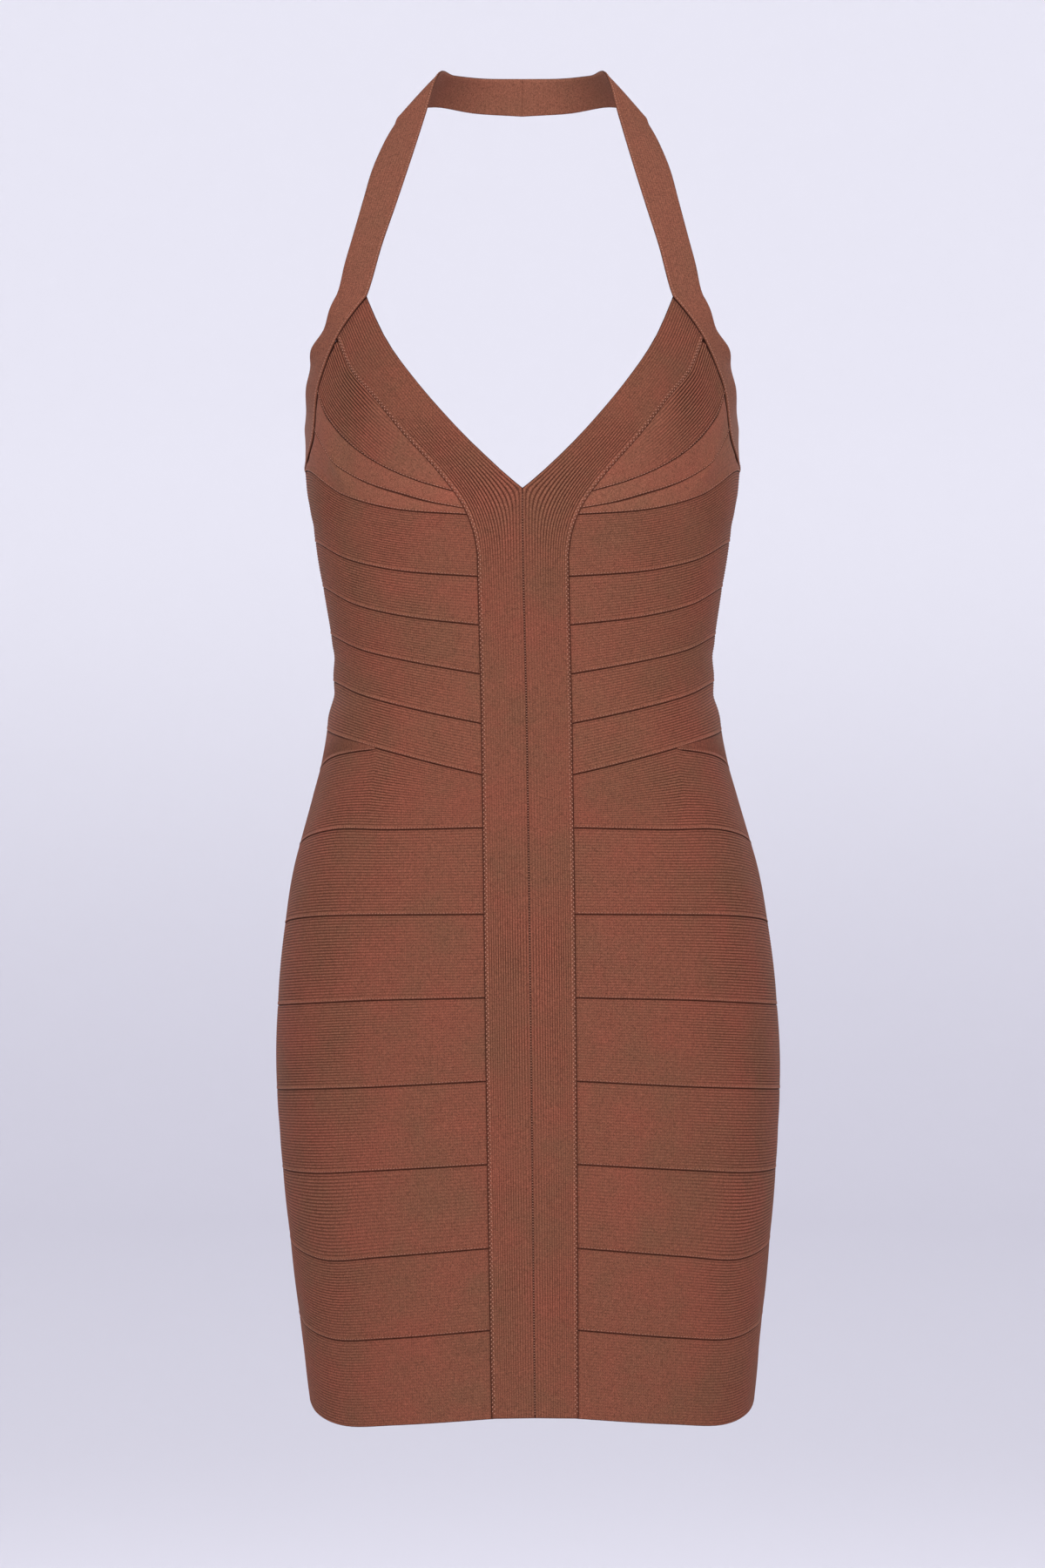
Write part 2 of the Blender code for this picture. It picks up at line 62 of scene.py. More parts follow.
FEW, SOME, MANY = 9, 17, 41     # points from which a length over the cloth is read


# ---- small helpers ---------------------------------------------------------
def smooth(xs: Sequence[float], ys: Sequence[float], x: Array) -> Array:
    """Smooth curve through points.

    Args:
        xs: rising places of the points.
        ys: values there.
        x: places to read.

    Returns:
        The curve's value at each place.
    """
    xs, ys, x = (np.asarray(values, float) for values in (xs, ys, x))
    run = np.diff(xs)
    slope = np.diff(ys) / run
    tangent = np.empty_like(ys)
    tangent[1:-1] = (run[1:] * slope[:-1] + run[:-1] * slope[1:]) / (run[1:] + run[:-1])
    tangent[0], tangent[-1] = slope[0], slope[-1]
    i = np.clip(np.searchsorted(xs, x) - 1, 0, len(xs) - 2)
    t = (x - xs[i]) / run[i]
    start = (2 * t**3 - 3 * t**2 + 1) * ys[i] + (t**3 - 2 * t**2 + t) * run[i] * tangent[i]
    end = (3 * t**2 - 2 * t**3) * ys[i + 1] + (t**3 - t**2) * run[i] * tangent[i + 1]
    return start + end


def unit(vectors: Array) -> Array:
    """The same vectors at length 1."""
    return vectors / np.maximum(np.linalg.norm(vectors, axis=-1, keepdims=True), 1e-9)


def together(first: Array, second: Array) -> Array:
    """Two heights at once: their sum, but two hollows go no deeper than the deeper one."""
    return np.where((first < 0) & (second < 0), np.minimum(first, second), first + second)


def ramp(start: float, end: float, x: Array) -> Array:
    """0 before start, 1 after end, and straight between."""
    return np.clip((x - start) / (end - start), 0.0, 1.0)


def arch(x: Array) -> Array:
    """0 at 0 and at 1, and 1 midway between."""
    return np.sin(np.pi * np.clip(x, 0, 1))


def path_length(points: Array) -> Array:
    """Distance along a line of points at each of them."""
    steps = np.linalg.norm(np.diff(points, axis=0), axis=-1)
    return np.concatenate(((0.0,), np.cumsum(steps)))


def along_path(at: Array, length: Array, points: Array) -> Array:
    """Points at distances along a line, of which length is the distance to each of its own."""
    return np.stack([np.interp(at, length, points[:, k]) for k in range(3)], axis=-1)


def extents(points: Array, axis: int) -> Array:
    """Length of each line of a grid of points along one of its axes."""
    return np.linalg.norm(np.diff(points, axis=axis), axis=-1).sum(axis=axis)


class Side(Enum):
    """Side of the wearer that a piece is on, as the sign of its X."""

    LEFT = 1
    RIGHT = -1

    @property
    def suffix(self) -> str:
        """Ending of the names of this side's pieces."""
        return self.name.lower()


# ---- the figure ------------------------------------------------------------
class Ring(NamedTuple):
    """Size of the filled dress at one drop, in millimetres."""

    drop: float
    half_breadth: float
    front: float
    back: float


class Crease(NamedTuple):
    """A soft ridge (height over 0) or trough in the worn cloth."""

    turn: float
    drop: float
    bearing: float      # degrees that it slants down toward the back
    length: float
    width: float
    height: float


class Stretch(NamedTuple):
    """How far the ribs stand out at one drop, where the cloth is stretched over the body."""

    drop: float
    middle: float       # share of their height near the centre front and back
    side: float         # and at the sides
    starts: float       # turn at which they begin to rise from one to the other
    ends: float         # and end


@dataclass(frozen=True)
class Figure:
    """General figure that fills the dress, with a rounded mound for each cup."""

    nape_back: float = 66.0         # the nape lies this far behind the side line
    ring_power: float = 2.25        # 2 is an ellipse, more is squarer
    cup_reach: float = 86.0         # of a cup's middle from the centre line
    cup_drop: float = 226.0         # of its middle
    cup_height: float = 27.0
    cup_breadth: float = 50.0       # millimetres over which it falls away to the sides
    cup_rise: float = 62.0          # upward
    cup_fall: float = 40.0          # and downward
    cup_power: float = 0.6          # more ends it sooner toward the side line
    turn_of_skirt: float = 1.0      # degrees that the skirt has slipped round the body
    turn_starts: float = 300.0      # drop at which it begins to turn
    turn_ends: float = 420.0        # and from which it has turned
    arc_per_degree: float = 2.45    # millimetres round the figure, for the creases
    # degrees and millimetres to either side over which a normal is read
    probe: tuple[float, float] = (0.4, 0.8)
    # how far the dress hangs to the left of the centre line: drop, sway
    sway: tuple[tuple[float, float], ...] = (
        (-15.0, 0.0), (30.0, -0.5), (150.0, -1.8), (190.0, -1.4), (260.0, 0.0),
        (330.0, 0.0), (890.0, 6.5))
    # these shares also set the painted groove shade, so the darker grooves toward the sides are
    # partly taller ribs and partly painted shade of light grazing them there
    stretches: tuple[Stretch, ...] = tuple(Stretch(*row) for row in (
        # drop, middle, side, starts, ends
        (150.0, 0.8, 1.0, 20.0, 60.0),
        (290.0, 0.35, 0.8, 15.0, 50.0),
        (340.0, 0.32, 0.72, 12.0, 44.0),
        (400.0, 0.32, 0.72, 10.0, 44.0),
        (470.0, 0.35, 0.85, 10.0, 48.0),
        (560.0, 0.35, 0.82, 20.0, 54.0),
        (640.0, 0.3, 0.8, 24.0, 54.0),
        (700.0, 0.24, 0.8, 28.0, 56.0),
        (800.0, 0.2, 0.78, 28.0, 60.0),
        (889.0, 0.15, 0.6, 30.0, 66.0)))
    unevenness: float = 0.3      # by how much patches of the cloth are stretched more or less
    # its waves: radians for each millimetre round and down, and where they start
    waves: tuple[tuple[float, float, float], ...] = (
        (0.110, 0.031, 1.3), (-0.047, 0.083, 4.1), (0.063, -0.121, 2.2))
    rings: tuple[Ring, ...] = tuple(Ring(*row) for row in (
        # drop, half breadth, front, back
        (120.0, 150.0, 62.0, 62.0),
        (150.0, 150.0, 74.0, 70.0),
        (190.0, 146.0, 88.0, 85.0),
        (220.0, 144.5, 93.0, 93.0),
        (253.0, 145.6, 96.0, 98.0),
        (295.0, 140.4, 94.0, 97.0),
        (330.0, 134.8, 91.0, 92.0),
        (365.0, 129.0, 88.0, 86.0),
        (396.0, 126.4, 87.0, 82.0),
        (412.0, 127.4, 88.0, 81.5),
        (426.0, 130.4, 90.0, 82.0),
        (447.0, 133.6, 93.0, 85.0),
        (479.0, 141.6, 98.0, 93.0),
        (522.0, 153.8, 103.0, 107.0),
        (575.0, 162.6, 106.0, 120.0),
        (627.0, 167.2, 107.0, 124.0),
        (665.0, 168.0, 107.0, 121.0),
        (714.0, 165.4, 106.0, 113.0),
        (773.0, 159.9, 103.0, 104.0),
        (825.0, 154.4, 100.0, 98.0),
        (890.0, 147.2, 97.0, 94.0)))
    creases: tuple[Crease, ...] = tuple(Crease(*row) for row in (
        # turn, drop, bearing, length, width, height
        (30.0, 220.0, -45.0, 10.0, 3.0, 0.7),
        (55.0, 263.0, -49.0, 18.0, 5.5, 1.4),
        (61.0, 272.0, -44.0, 18.0, 4.5, -0.7),
        (70.0, 262.0, -24.0, 24.0, 4.5, -0.7),
        (77.0, 283.0, -16.0, 30.0, 6.0, 0.6),
        (83.0, 300.0, -10.0, 34.0, 5.0, -0.6),
        (84.0, 384.0, 4.0, 38.0, 5.5, -0.8),
        (88.0, 398.0, -3.0, 46.0, 6.0, 0.7),
        (81.0, 413.0, -7.0, 36.0, 5.0, -0.9),
        (96.0, 427.0, 6.0, 30.0, 6.5, 0.6),
        (58.0, 470.0, 22.0, 34.0, 8.0, -0.5),
        (66.0, 540.0, 28.0, 44.0, 10.0, 0.6),
        (48.0, 610.0, -14.0, 52.0, 12.0, -0.5),
        (72.0, 690.0, 12.0, 48.0, 11.0, -0.6),
        (54.0, 762.0, -18.0, 40.0, 12.0, 0.6),
        (21.0, 688.0, 86.0, 26.0, 4.5, 0.3),
        (27.0, 698.0, 92.0, 36.0, 5.5, -0.35),
        (34.0, 690.0, 84.0, 30.0, 5.0, 0.4),
        (42.0, 706.0, 95.0, 24.0, 6.0, -0.3),
        (24.0, 752.0, 90.0, 22.0, 5.0, -0.3),
        (32.0, 762.0, 87.0, 28.0, 5.5, 0.35),
        (82.0, 828.0, 62.0, 34.0, 10.0, -0.9),
        (100.0, 842.0, 70.0, 30.0, 9.0, 0.8),
        (150.0, 385.0, 5.0, 48.0, 6.5, -1.0),
        (138.0, 402.0, -6.0, 40.0, 6.0, 0.8),
        (156.0, 417.0, 3.0, 52.0, 7.0, -1.1),
        (144.0, 436.0, -8.0, 34.0, 6.5, 0.7),
        (128.0, 300.0, 14.0, 36.0, 7.0, -0.7),
        (150.0, 700.0, 24.0, 46.0, 10.0, -0.7),
        (163.0, 640.0, 88.0, 30.0, 5.5, 0.35),
        (170.0, 655.0, 93.0, 24.0, 5.0, -0.35),
        (132.0, 800.0, -58.0, 38.0, 10.0, 0.8),
        (158.0, 838.0, 66.0, 32.0, 9.0, -0.8)))

    def half_breadth(self, drop: Array) -> Array:
        """Half the breadth of the figure at a drop."""
        return self._along("half_breadth", drop)

    def _along(self, column: str, drop: Array) -> Array:
        """One column of the rings at a drop."""
        return smooth([ring.drop for ring in self.rings],
                      [getattr(ring, column) for ring in self.rings], drop)

    def points(self, turn: Array, drop: Array) -> Array:
        """Points of the plain figure.

        Args:
            turn: degrees round the figure.
            drop: millimetres below the nape.

        Returns:
            X, Y behind the side line, and Z, in millimetres, along a new last axis.
        """
        turn, drop = np.broadcast_arrays(np.asarray(turn, float), np.asarray(drop, float))
        s, c = np.sin(np.radians(turn)), np.cos(np.radians(turn))
        x = self.half_breadth(drop) * np.sign(s) * np.abs(s) ** (2 / self.ring_power)
        depth = np.where(c > 0, self._along("front", drop), -self._along("back", drop))
        y = -depth * np.abs(c) ** (2 / self.ring_power)
        fade = np.where(drop < self.cup_drop, self.cup_rise, self.cup_fall)
        mound = self.cup_height * np.exp(-((drop - self.cup_drop) / fade) ** 2)
        across = sum(np.exp(-((x - side * self.cup_reach) / self.cup_breadth) ** 2)
                     for side in (-1, 1))
        return np.stack((x, y - mound * across * np.maximum(c, 0.0) ** self.cup_power, -drop),
                        axis=-1)

    def normals(self, turn: Array, drop: Array) -> Array:
        """Outward normals of the plain figure at turns and drops.

        Args:
            turn: degrees round the figure.
            drop: millimetres below the nape.

        Returns:
            A vector 1 long for each.
        """
        step, fall = self.probe
        along = self.points(turn + step, drop) - self.points(turn - step, drop)
        down = self.points(turn, drop + fall) - self.points(turn, drop - fall)
        return unit(np.cross(down, along))

    def crease_heights(self, turn: Array, drop: Array) -> Array:
        """How far the soft creases lift the cloth at turns and drops.

        Args:
            turn: degrees round the figure.
            drop: millimetres below the nape.

        Returns:
            Millimetres outward.
        """
        height = np.zeros(np.broadcast(turn, drop).shape)
        for crease in self.creases:
            across = (turn - crease.turn) * self.arc_per_degree
            down = drop - crease.drop
            c, s = np.cos(radians(crease.bearing)), np.sin(radians(crease.bearing))
            run, off = across * c + down * s, down * c - across * s
            height += crease.height * np.exp(-(run / crease.length) ** 2
                                             - (off / crease.width) ** 2)
        return height

    def rib_relief(self, turn: Array, drop: Array) -> Array:
        """How far the ribs stand out at turns and drops, as a share of their height.

        Args:
            turn: degrees round the figure.
            drop: millimetres below the nape.

        Returns:
            The share at each, mostly from 0 to 1.
        """
        drops, *columns = zip(*self.stretches)
        middle, side, starts, ends = (np.interp(drop, drops, column) for column in columns)
        share = ramp(starts, ends, np.minimum(turn, 180.0 - turn))
        share = share * share * (3 - 2 * share)
        return (middle * (1 - share) + side * share) * self.patchiness(turn, drop)

    def patchiness(self, turn: Array, drop: Array) -> Array:
        """A level around 1 that drifts over 50 to 75 mm, for cloth stretched unevenly.

        Args:
            turn: degrees round the figure.
            drop: millimetres below the nape.

        Returns:
            The level at each.
        """
        round_ = np.asarray(turn) * self.arc_per_degree
        drift = sum(np.sin(across * round_ + down * drop + start)
                    for across, down, start in self.waves)
        return 1.0 + self.unevenness * drift / len(self.waves)

    def turn_at_reach(self, reach: Array, drop: Array) -> Array:
        """Turn at which the front is this far from the centre line."""
        share = np.clip(reach / self.half_breadth(drop), 0.0, 1.0)
        return np.degrees(np.arcsin(share ** (self.ring_power / 2)))

    def worn(self, points: Array, side: Side) -> Array:
        """Place points on one side of the wearer.

        Args:
            points: millimetres, on the left side.
            side: side that they go to.

        Returns:
            Metres, in the frame's axes.
        """
        x, y, z = np.moveaxis(points, -1, 0)
        drops, sways = zip(*self.sway)
        x = side.value * x + np.interp(-z, drops, sways)
        angle = np.radians(self.turn_of_skirt * ramp(self.turn_starts, self.turn_ends, -z))
        c, s = np.cos(angle), np.sin(angle)
        return np.stack((x * c - y * s, x * s + y * c - self.nape_back, z), axis=-1) * MM


# ---- the cut ---------------------------------------------------------------
@dataclass(frozen=True)
class Cut:
    """Seam lines of the dress on its figure, as turns and drops."""

    figure: Figure = Figure()
    seam_turns: tuple[float, ...] = (8.0, 35.0, 55.0, 75.0, 90.0, 180.0)
    seams: tuple[tuple[str, tuple[float, ...]], ...] = (
        # name          strip    35     55     75    side   back
        ("cup_base",    (296.5, 291.0, 280.0, 263.5, 262.0, 301.0)),
        ("midriff_1",   (336.0, 331.0, 323.0, 311.5, 308.0, 330.0)),
        ("midriff_2",   (367.5, 360.5, 352.5, 341.5, 338.0, 361.0)),
        ("midriff_3",   (399.5, 389.5, 382.0, 373.0, 369.5, 392.0)),
        ("midriff_4",   (431.5, 419.5, 411.5, 403.5, 401.0, 422.0)),
        ("midriff_5",   (464.5, 450.5, 442.0, 436.0, 433.0, 448.0)),
        ("skirt_1",     (497.5, 499.0, 499.0, 504.5, 511.0, 514.0)),
        ("skirt_2",     (553.0, 554.0, 555.5, 559.0, 563.0, 567.0)),
        ("skirt_3",     (606.5, 609.0, 612.0, 615.0, 617.0, 621.0)),
        ("skirt_4",     (660.0, 665.0, 668.0, 671.0, 673.0, 676.0)),
        ("skirt_5",     (713.5, 719.0, 723.0, 724.5, 725.0, 729.0)),
        ("skirt_6",     (767.5, 775.0, 780.0, 775.5, 771.0, 781.0)),
        ("skirt_7",     (820.5, 828.0, 832.0, 827.0, 822.0, 833.0)),
        ("hem",         (878.5, 885.0, 889.0, 885.0, 878.0, 884.0)),
    )
    wedge_start: float = 45.0
    # turn, how far the wedge has opened
    wedge_opening: tuple[tuple[float, float], ...] = (
        (45.0, 1.0), (55.0, 6.5), (72.0, 16.0), (90.0, 28.0), (180.0, 32.0))
    # turn, drop
    neck_edge: tuple[tuple[float, float], ...] = (
        (39.5, 152.0), (33.0, 185.0), (24.5, 212.5), (14.5, 240.0),
        (5.5, 264.0), (1.5, 275.0), (0.0, 279.0))
    cup_seam: tuple[tuple[float, float], ...] = (
        (52.5, 178.0), (46.0, 205.0), (40.0, 218.0), (30.0, 242.5),
        (19.5, 269.0), (13.5, 290.0), (11.0, 307.0), (10.1, 324.0))
    upper_cup_seam: tuple[tuple[float, float], ...] = (
        (15.7, 281.0), (25.0, 274.5), (33.5, 267.0), (41.5, 258.0),
        (49.0, 247.5), (55.5, 237.0), (61.8, 225.7), (66.5, 211.5))
    lower_cup_seam: tuple[tuple[float, float], ...] = (
        (13.1, 292.0), (22.5, 287.5), (31.0, 282.0), (40.2, 276.0),
        (48.8, 268.5), (56.7, 258.5), (63.3, 246.5), (69.6, 235.5))
    # drop, reach of the long strip's outer edge below the cups
    strip_edge: tuple[tuple[float, float], ...] = (
        (324.0, 29.2), (431.0, 29.0), (660.0, 28.7), (890.0, 27.5))
    # drops of the strip's inner and outer edge at each line across it
    strip_sections: tuple[tuple[float, float], ...] = (
        (152.0, 178.0), (185.0, 197.0), (200.0, 215.0), (212.0, 230.0), (226.0, 245.0),
        (240.0, 259.0), (252.0, 271.0), (264.0, 284.0), (275.0, 296.0), (279.0, 306.0),
        (290.0, 317.0), (305.0, 327.0), (330.0, 342.0), (365.0, 368.0), (400.0, 400.0),
        (520.0, 520.0), (640.0, 640.0), (760.0, 760.0), (878.0, 878.5))
    # over the shoulder: reach, depth and drop of the neck edge, then of the outer edge
    strap_over_shoulder: tuple[tuple[tuple[float, ...], tuple[float, ...]], ...] = (
        ((0.0, 62.0, -12.0), (0.0, 70.0, 12.0)),
        ((26.0, 57.0, -11.5), (33.0, 68.0, 10.0)),
        ((46.0, 37.0, -10.0), (61.0, 46.0, 9.0)),
        ((56.0, 8.0, -6.5), (80.5, 2.0, 21.5)),
        ((64.0, -7.0, 22.0), (85.5, -6.0, 30.0)),
        ((69.0, -19.0, 41.5), (91.5, -15.0, 42.5)),
        ((75.0, -31.0, 63.5), (99.0, -25.0, 62.5)),
        ((82.5, -43.0, 89.5), (104.5, -35.0, 85.0)),
        ((91.0, -54.0, 117.5), (111.5, -44.0, 113.5)))
    # along the armhole: turn and drop of the cup side, then of the armhole side
    strap_along_armhole: tuple[tuple[float, ...], ...] = (
        (39.5, 152.0, 51.5, 150.0), (45.5, 164.0, 56.0, 164.0), (51.5, 176.0, 62.0, 175.0),
        (56.5, 187.0, 69.0, 186.0), (61.5, 199.0, 73.0, 195.0), (66.5, 211.5, 76.0, 205.5),
        (68.5, 221.0, 79.0, 214.5), (69.5, 234.0, 83.5, 224.0), (71.0, 244.0, 87.5, 230.5),
        (75.0, 251.5, 92.0, 234.5), (81.0, 258.0, 97.0, 236.5), (88.0, 262.0, 101.0, 238.0))
    strap_end_turn: float = 105.0
    strap_width: float = 25.0
    passes: int = 6     # rounds in which a seam's start settles on the long strip's edge

    @property
    def seam_names(self) -> list[str]:
        """Names of the seams round the figure, from the cups to the hem."""
        return [name for name, _ in self.seams]

    def seam(self, name: str) -> Edging:
        """A seam round the figure, as its drop at each turn.

        Args:
            name: the seam's name.

        Returns:
            A function from turns to drops.
        """
        drops = dict(self.seams)[name]
        # mirrored past the centre back, so that it's level where it crosses that line
        turns = self.seam_turns + (360.0 - self.seam_turns[-2],)
        return lambda turn: smooth(turns, drops + (drops[-2],), turn)

    def wedge_seam(self, turn: Array) -> Array:
        """Drop of the seam under the wedge that opens at the sides.

        Args:
            turn: degrees round the figure.

        Returns:
            The drop at each turn.
        """
        turns, openings = zip(*self.wedge_opening)
        opening = np.where(turn >= self.wedge_start, smooth(turns, openings, turn), 0.0)
        return self.seam("midriff_5")(turn) + opening

    @staticmethod
    def turn_on(line: Iterable[tuple[float, float]], drop: Array) -> Array:
        """Turn at a drop of a line that is given as (turn, drop) rows."""
        turns, drops = zip(*sorted(line, key=lambda row: row[1]))
        return smooth(drops, turns, drop)

    def strip_outer_turn(self, drop: Array) -> Array:
        """Turn of a long strip's outer edge at a drop.

        Args:
            drop: millimetres below the nape.

        Returns:
            The turn at each drop.
        """
        drops, reaches = zip(*self.strip_edge)
        straight = self.figure.turn_at_reach(smooth(drops, reaches, drop), drop)
        return np.where(drop < drops[0], self.turn_on(self.cup_seam, drop), straight)

    def strip_inner_turn(self, drop: Array) -> Array:
        """Turn of a long strip's inner edge: the V neck, then the centre line."""
        return np.where(drop < self.neck_edge[-1][1], self.turn_on(self.neck_edge, drop), 0.0)

    def armhole_turn(self, drop: Array) -> Array:
        """Turn of the strap's edge along which the cup bands end."""
        return self.turn_on([row[:2] for row in self.strap_along_armhole], drop)

    def seam_start(self, seam: Edging) -> float:
        """Turn at which a seam leaves the long strip.

        Args:
            seam: the seam, as its drop at each turn.

        Returns:
            Degrees round the figure.
        """
        turn = self.seam_turns[0]
        for _ in range(self.passes):
            turn = float(self.strip_outer_turn(seam(turn)))
        return turn

    @staticmethod
    def cup_line(line: Sequence[tuple[float, float]]) -> Edging:
        """A cup seam from the strip (0) to the armhole (1), as turns and drops.

        Args:
            line: the seam's points, as (turn, drop) rows.

        Returns:
            A function from shares of the line to turns and drops.
        """
        turns, drops = zip(*line)
        span = np.linspace(0, 1, len(line))
        return lambda t: np.stack((smooth(span, turns, t), smooth(span, drops, t)), axis=-1)

    @staticmethod
    def drop_line(turn_of: Edging, first: float, last: float) -> Edging:
        """A line given by its turn at each drop, from 0 to 1.

        Args:
            turn_of: its turn at each drop.
            first: drop at which it starts.
            last: drop at which it ends.

        Returns:
            A function from shares of the line to turns and drops.
        """
        def line(t: Array) -> Array:
            """Turns and drops at shares of the line."""
            drop = first + (last - first) * np.asarray(t, float)
            return np.stack((turn_of(drop), drop), axis=-1)
        return line


def coons(edges: tuple[Edging, Edging, Edging, Edging], down: Array, round_: Array) -> Array:
    """Fill a patch that four lines bound.

    Args:
        edges: the top, bottom, start and end lines, each from 0 to 1.
        down: share of the way from top to bottom.
        round_: share of the way from start to end.

    Returns:
        Turns and drops along a new last axis.
    """
    top, bottom, start, end = edges
    w, t = down[..., None], round_[..., None]
    across = (1 - w) * top(round_) + w * bottom(round_)
    along = (1 - t) * start(down) + t * end(down)
    corners = ((1 - w) * ((1 - t) * top(0.0) + t * top(1.0))
               + w * ((1 - t) * bottom(0.0) + t * bottom(1.0)))
    return across + along - corners


# ---- edges and ribs --------------------------------------------------------
class EdgeStep(NamedTuple):
    """One line of points beside an edge, in millimetres."""

    inset: float               # from the seam line into the piece
    lift: float                # of the outer face over the plain cloth
    back: float | None         # height of the inner face, or None where it has no line
    shade: float               # painted shade there, from 0 for none to 1 for the seam colour


CLOTH = 1.3     # thickness of the knit away from its edges

# the margin of a piece that lies out of sight under its neighbour
UNDER = (EdgeStep(-1.6, -0.95, -1.9, 1.0), EdgeStep(-0.5, -0.95, None, 1.0))


class Edge(Enum):
    """How one edge of a piece is sewn or finished."""

    # tucked under a lapped neighbour
    TUCKED = (*UNDER, EdgeStep(0.5, -0.75, -1.9, 1.0), EdgeStep(0.95, -0.35, None, 0.8),
              EdgeStep(1.4, 0.0, -CLOTH, 0.1))
    # tucked under the long strip
    COVERED = (*UNDER, EdgeStep(0.3, -0.5, -1.9, 0.7), EdgeStep(0.6, -0.15, None, 0.3),
               EdgeStep(1.1, 0.0, -CLOTH, 0.0))
    # tucked in deeper, at the foot of a shallow hollow
    SHADED = (*UNDER, EdgeStep(0.9, -0.85, -1.9, 1.0), EdgeStep(1.8, -0.4, None, 0.75),
              EdgeStep(2.9, 0.0, -CLOTH, 0.0))
    # tucked under the strap, at the foot of a broader one, with a wide painted shadow of the
    # strap beside it
    HOLLOWED = (*UNDER, EdgeStep(1.4, -0.95, -1.9, 1.0), EdgeStep(2.8, -0.6, None, 0.8),
                EdgeStep(4.8, 0.0, -CLOTH, 0.0))
    # a narrow tip that runs on under the strap
    HIDDEN_TIP = (EdgeStep(-4.2, -0.95, -1.9, 1.0), EdgeStep(-0.5, -0.95, None, 1.0),
                  EdgeStep(0.5, -0.7, -1.9, 1.0), EdgeStep(1.6, 0.0, -CLOTH, 0.0))
    # laid over its neighbours under a row of zigzag
    ZIGZAGGED = (EdgeStep(-0.3, -0.62, -0.74, 1.0), EdgeStep(-0.4, -0.2, None, 0.9),
                 EdgeStep(-0.15, 0.06, None, 0.7), EdgeStep(0.9, 0.1, -0.9, 0.35),
                 EdgeStep(1.8, 0.06, None, 0.3), EdgeStep(2.4, 0.0, -CLOTH, 0.0))
    # laid over the next band, with a plain margin over the seam
    LAPPED = (EdgeStep(-0.3, -0.62, -0.74, 1.0), EdgeStep(-0.4, -0.2, None, 0.8),
              EdgeStep(-0.15, 0.02, None, 0.45), EdgeStep(0.4, 0.07, -0.9, 0.2),
              EdgeStep(1.1, 0.05, None, 0.16), EdgeStep(1.8, 0.0, -CLOTH, 0.14))
    # the strap's edge over the cups
    BOUND = (EdgeStep(-0.1, -0.72, -0.95, 1.0), EdgeStep(-0.25, -0.25, None, 0.5),
             EdgeStep(0.0, 0.22, None, 0.1), EdgeStep(0.8, 0.32, None, 0.0),
             EdgeStep(2.0, 0.0, -CLOTH, 0.1))
    # rolled in, at an open edge or on both sides of a butted seam
    ROLLED = (EdgeStep(-0.05, -0.85, -1.2, 1.0), EdgeStep(0.0, -0.5, None, 0.9),
              EdgeStep(0.3, -0.15, None, 0.5), EdgeStep(0.8, 0.0, -CLOTH, 0.0))

    @property
    def depth(self) -> float:
        """How far the edge reaches into the piece."""
        return self.value[-1].inset


@dataclass(frozen=True)
class Lines:
    """Lines of points from one edge of a piece to the other, an entry for each line."""

    share: Array      # place between the edges, from 0 to 1
    inset: Array      # millimetres added to that place
    lift: Array       # of the outer face
    back: Array       # of the inner face, not a number where it has no line
    shade: Array
    wale: Array       # ribs counted from the first edge

    @classmethod
    def between(cls, near: Edge, far: Edge, steps: int, ribs: float, kept: int) -> "Lines":
        """Lay out the lines across a piece.

        Args:
            near: its first edge.
            far: its last edge.
            steps: steps between the two edges' own lines.
            ribs: ribs over those steps.
            kept: steps of the outer face for each one of the inner face.

        Returns:
            The lines, from the first edge to the last.
        """
        rows = [(0.0, step.inset, step.lift, step.back, step.shade, 0.0) for step in near.value]
        for k in range(1, steps):
            s = k / steps
            back = -CLOTH if k % kept == 0 and steps - k >= kept else None
            rows.append((s, near.depth * (1 - s) - far.depth * s, 0.0, back, 0.0, ribs * s))
        rows += [(1.0, -step.inset, step.lift, step.back, step.shade, ribs)
                 for step in reversed(far.value)]
        columns = zip(*[[np.nan if value is None else value for value in row] for row in rows])
        return cls(*(np.array(column, float) for column in columns))

    def places(self, span: Array) -> Array:
        """Place of every line, one column for each span in millimetres between the edges.

        Args:
            span: millimetres between the two edges, at each place along them.

        Returns:
            Shares of the way from the first edge to the last.
        """
        share, inset = self.share[:, None], self.inset[:, None]
        beyond = ((share == 0) & (inset < 0)) | ((share == 1) & (inset > 0))
        # a narrow piece has narrower edges, but reaches as far under its neighbours
        fit = np.where(beyond, 1.0, np.minimum(span / EDGE_ROOM, 1.0))
        return share + inset * fit / np.maximum(span, LEAST_SPAN)

    @property
    def kept(self) -> Array:
        """Numbers of the lines that the inner face has too."""
        return np.flatnonzero(np.isfinite(self.back))


EDGE_ROOM = 12.0    # a piece narrower than this has its edge lines drawn closer
LEAST_SPAN = 0.5    # where two edges meet, they are taken to be this far apart


@dataclass(frozen=True)
class Ribs:
    """Relief of the knit's ribs."""

    pitch: float = 1.78         # millimetres from rib to rib, as real
    height: float = 0.42        # millimetres from groove to crest where they stand out fully
    steps: int = 4              # lines of points for each rib
    sharpness: float = 1.7      # over 1 for round ribs with narrow grooves
    flat_tone: float = 0.36     # depth of groove, and share of painted groove shade, that fully stretched ribs look like

    def count(self, width: float) -> int:
        """Ribs that fit a width."""
        return max(2, round(width / self.pitch))

    def groove(self, wale: Array, relief: Array) -> Array:
        """1 at the bottom of a groove and 0 on a rib's crest, less where they're flattened."""
        full = (0.5 - 0.5 * np.cos(2 * np.pi * wale)) ** self.sharpness
        return self.flat_tone + (full - self.flat_tone) * relief


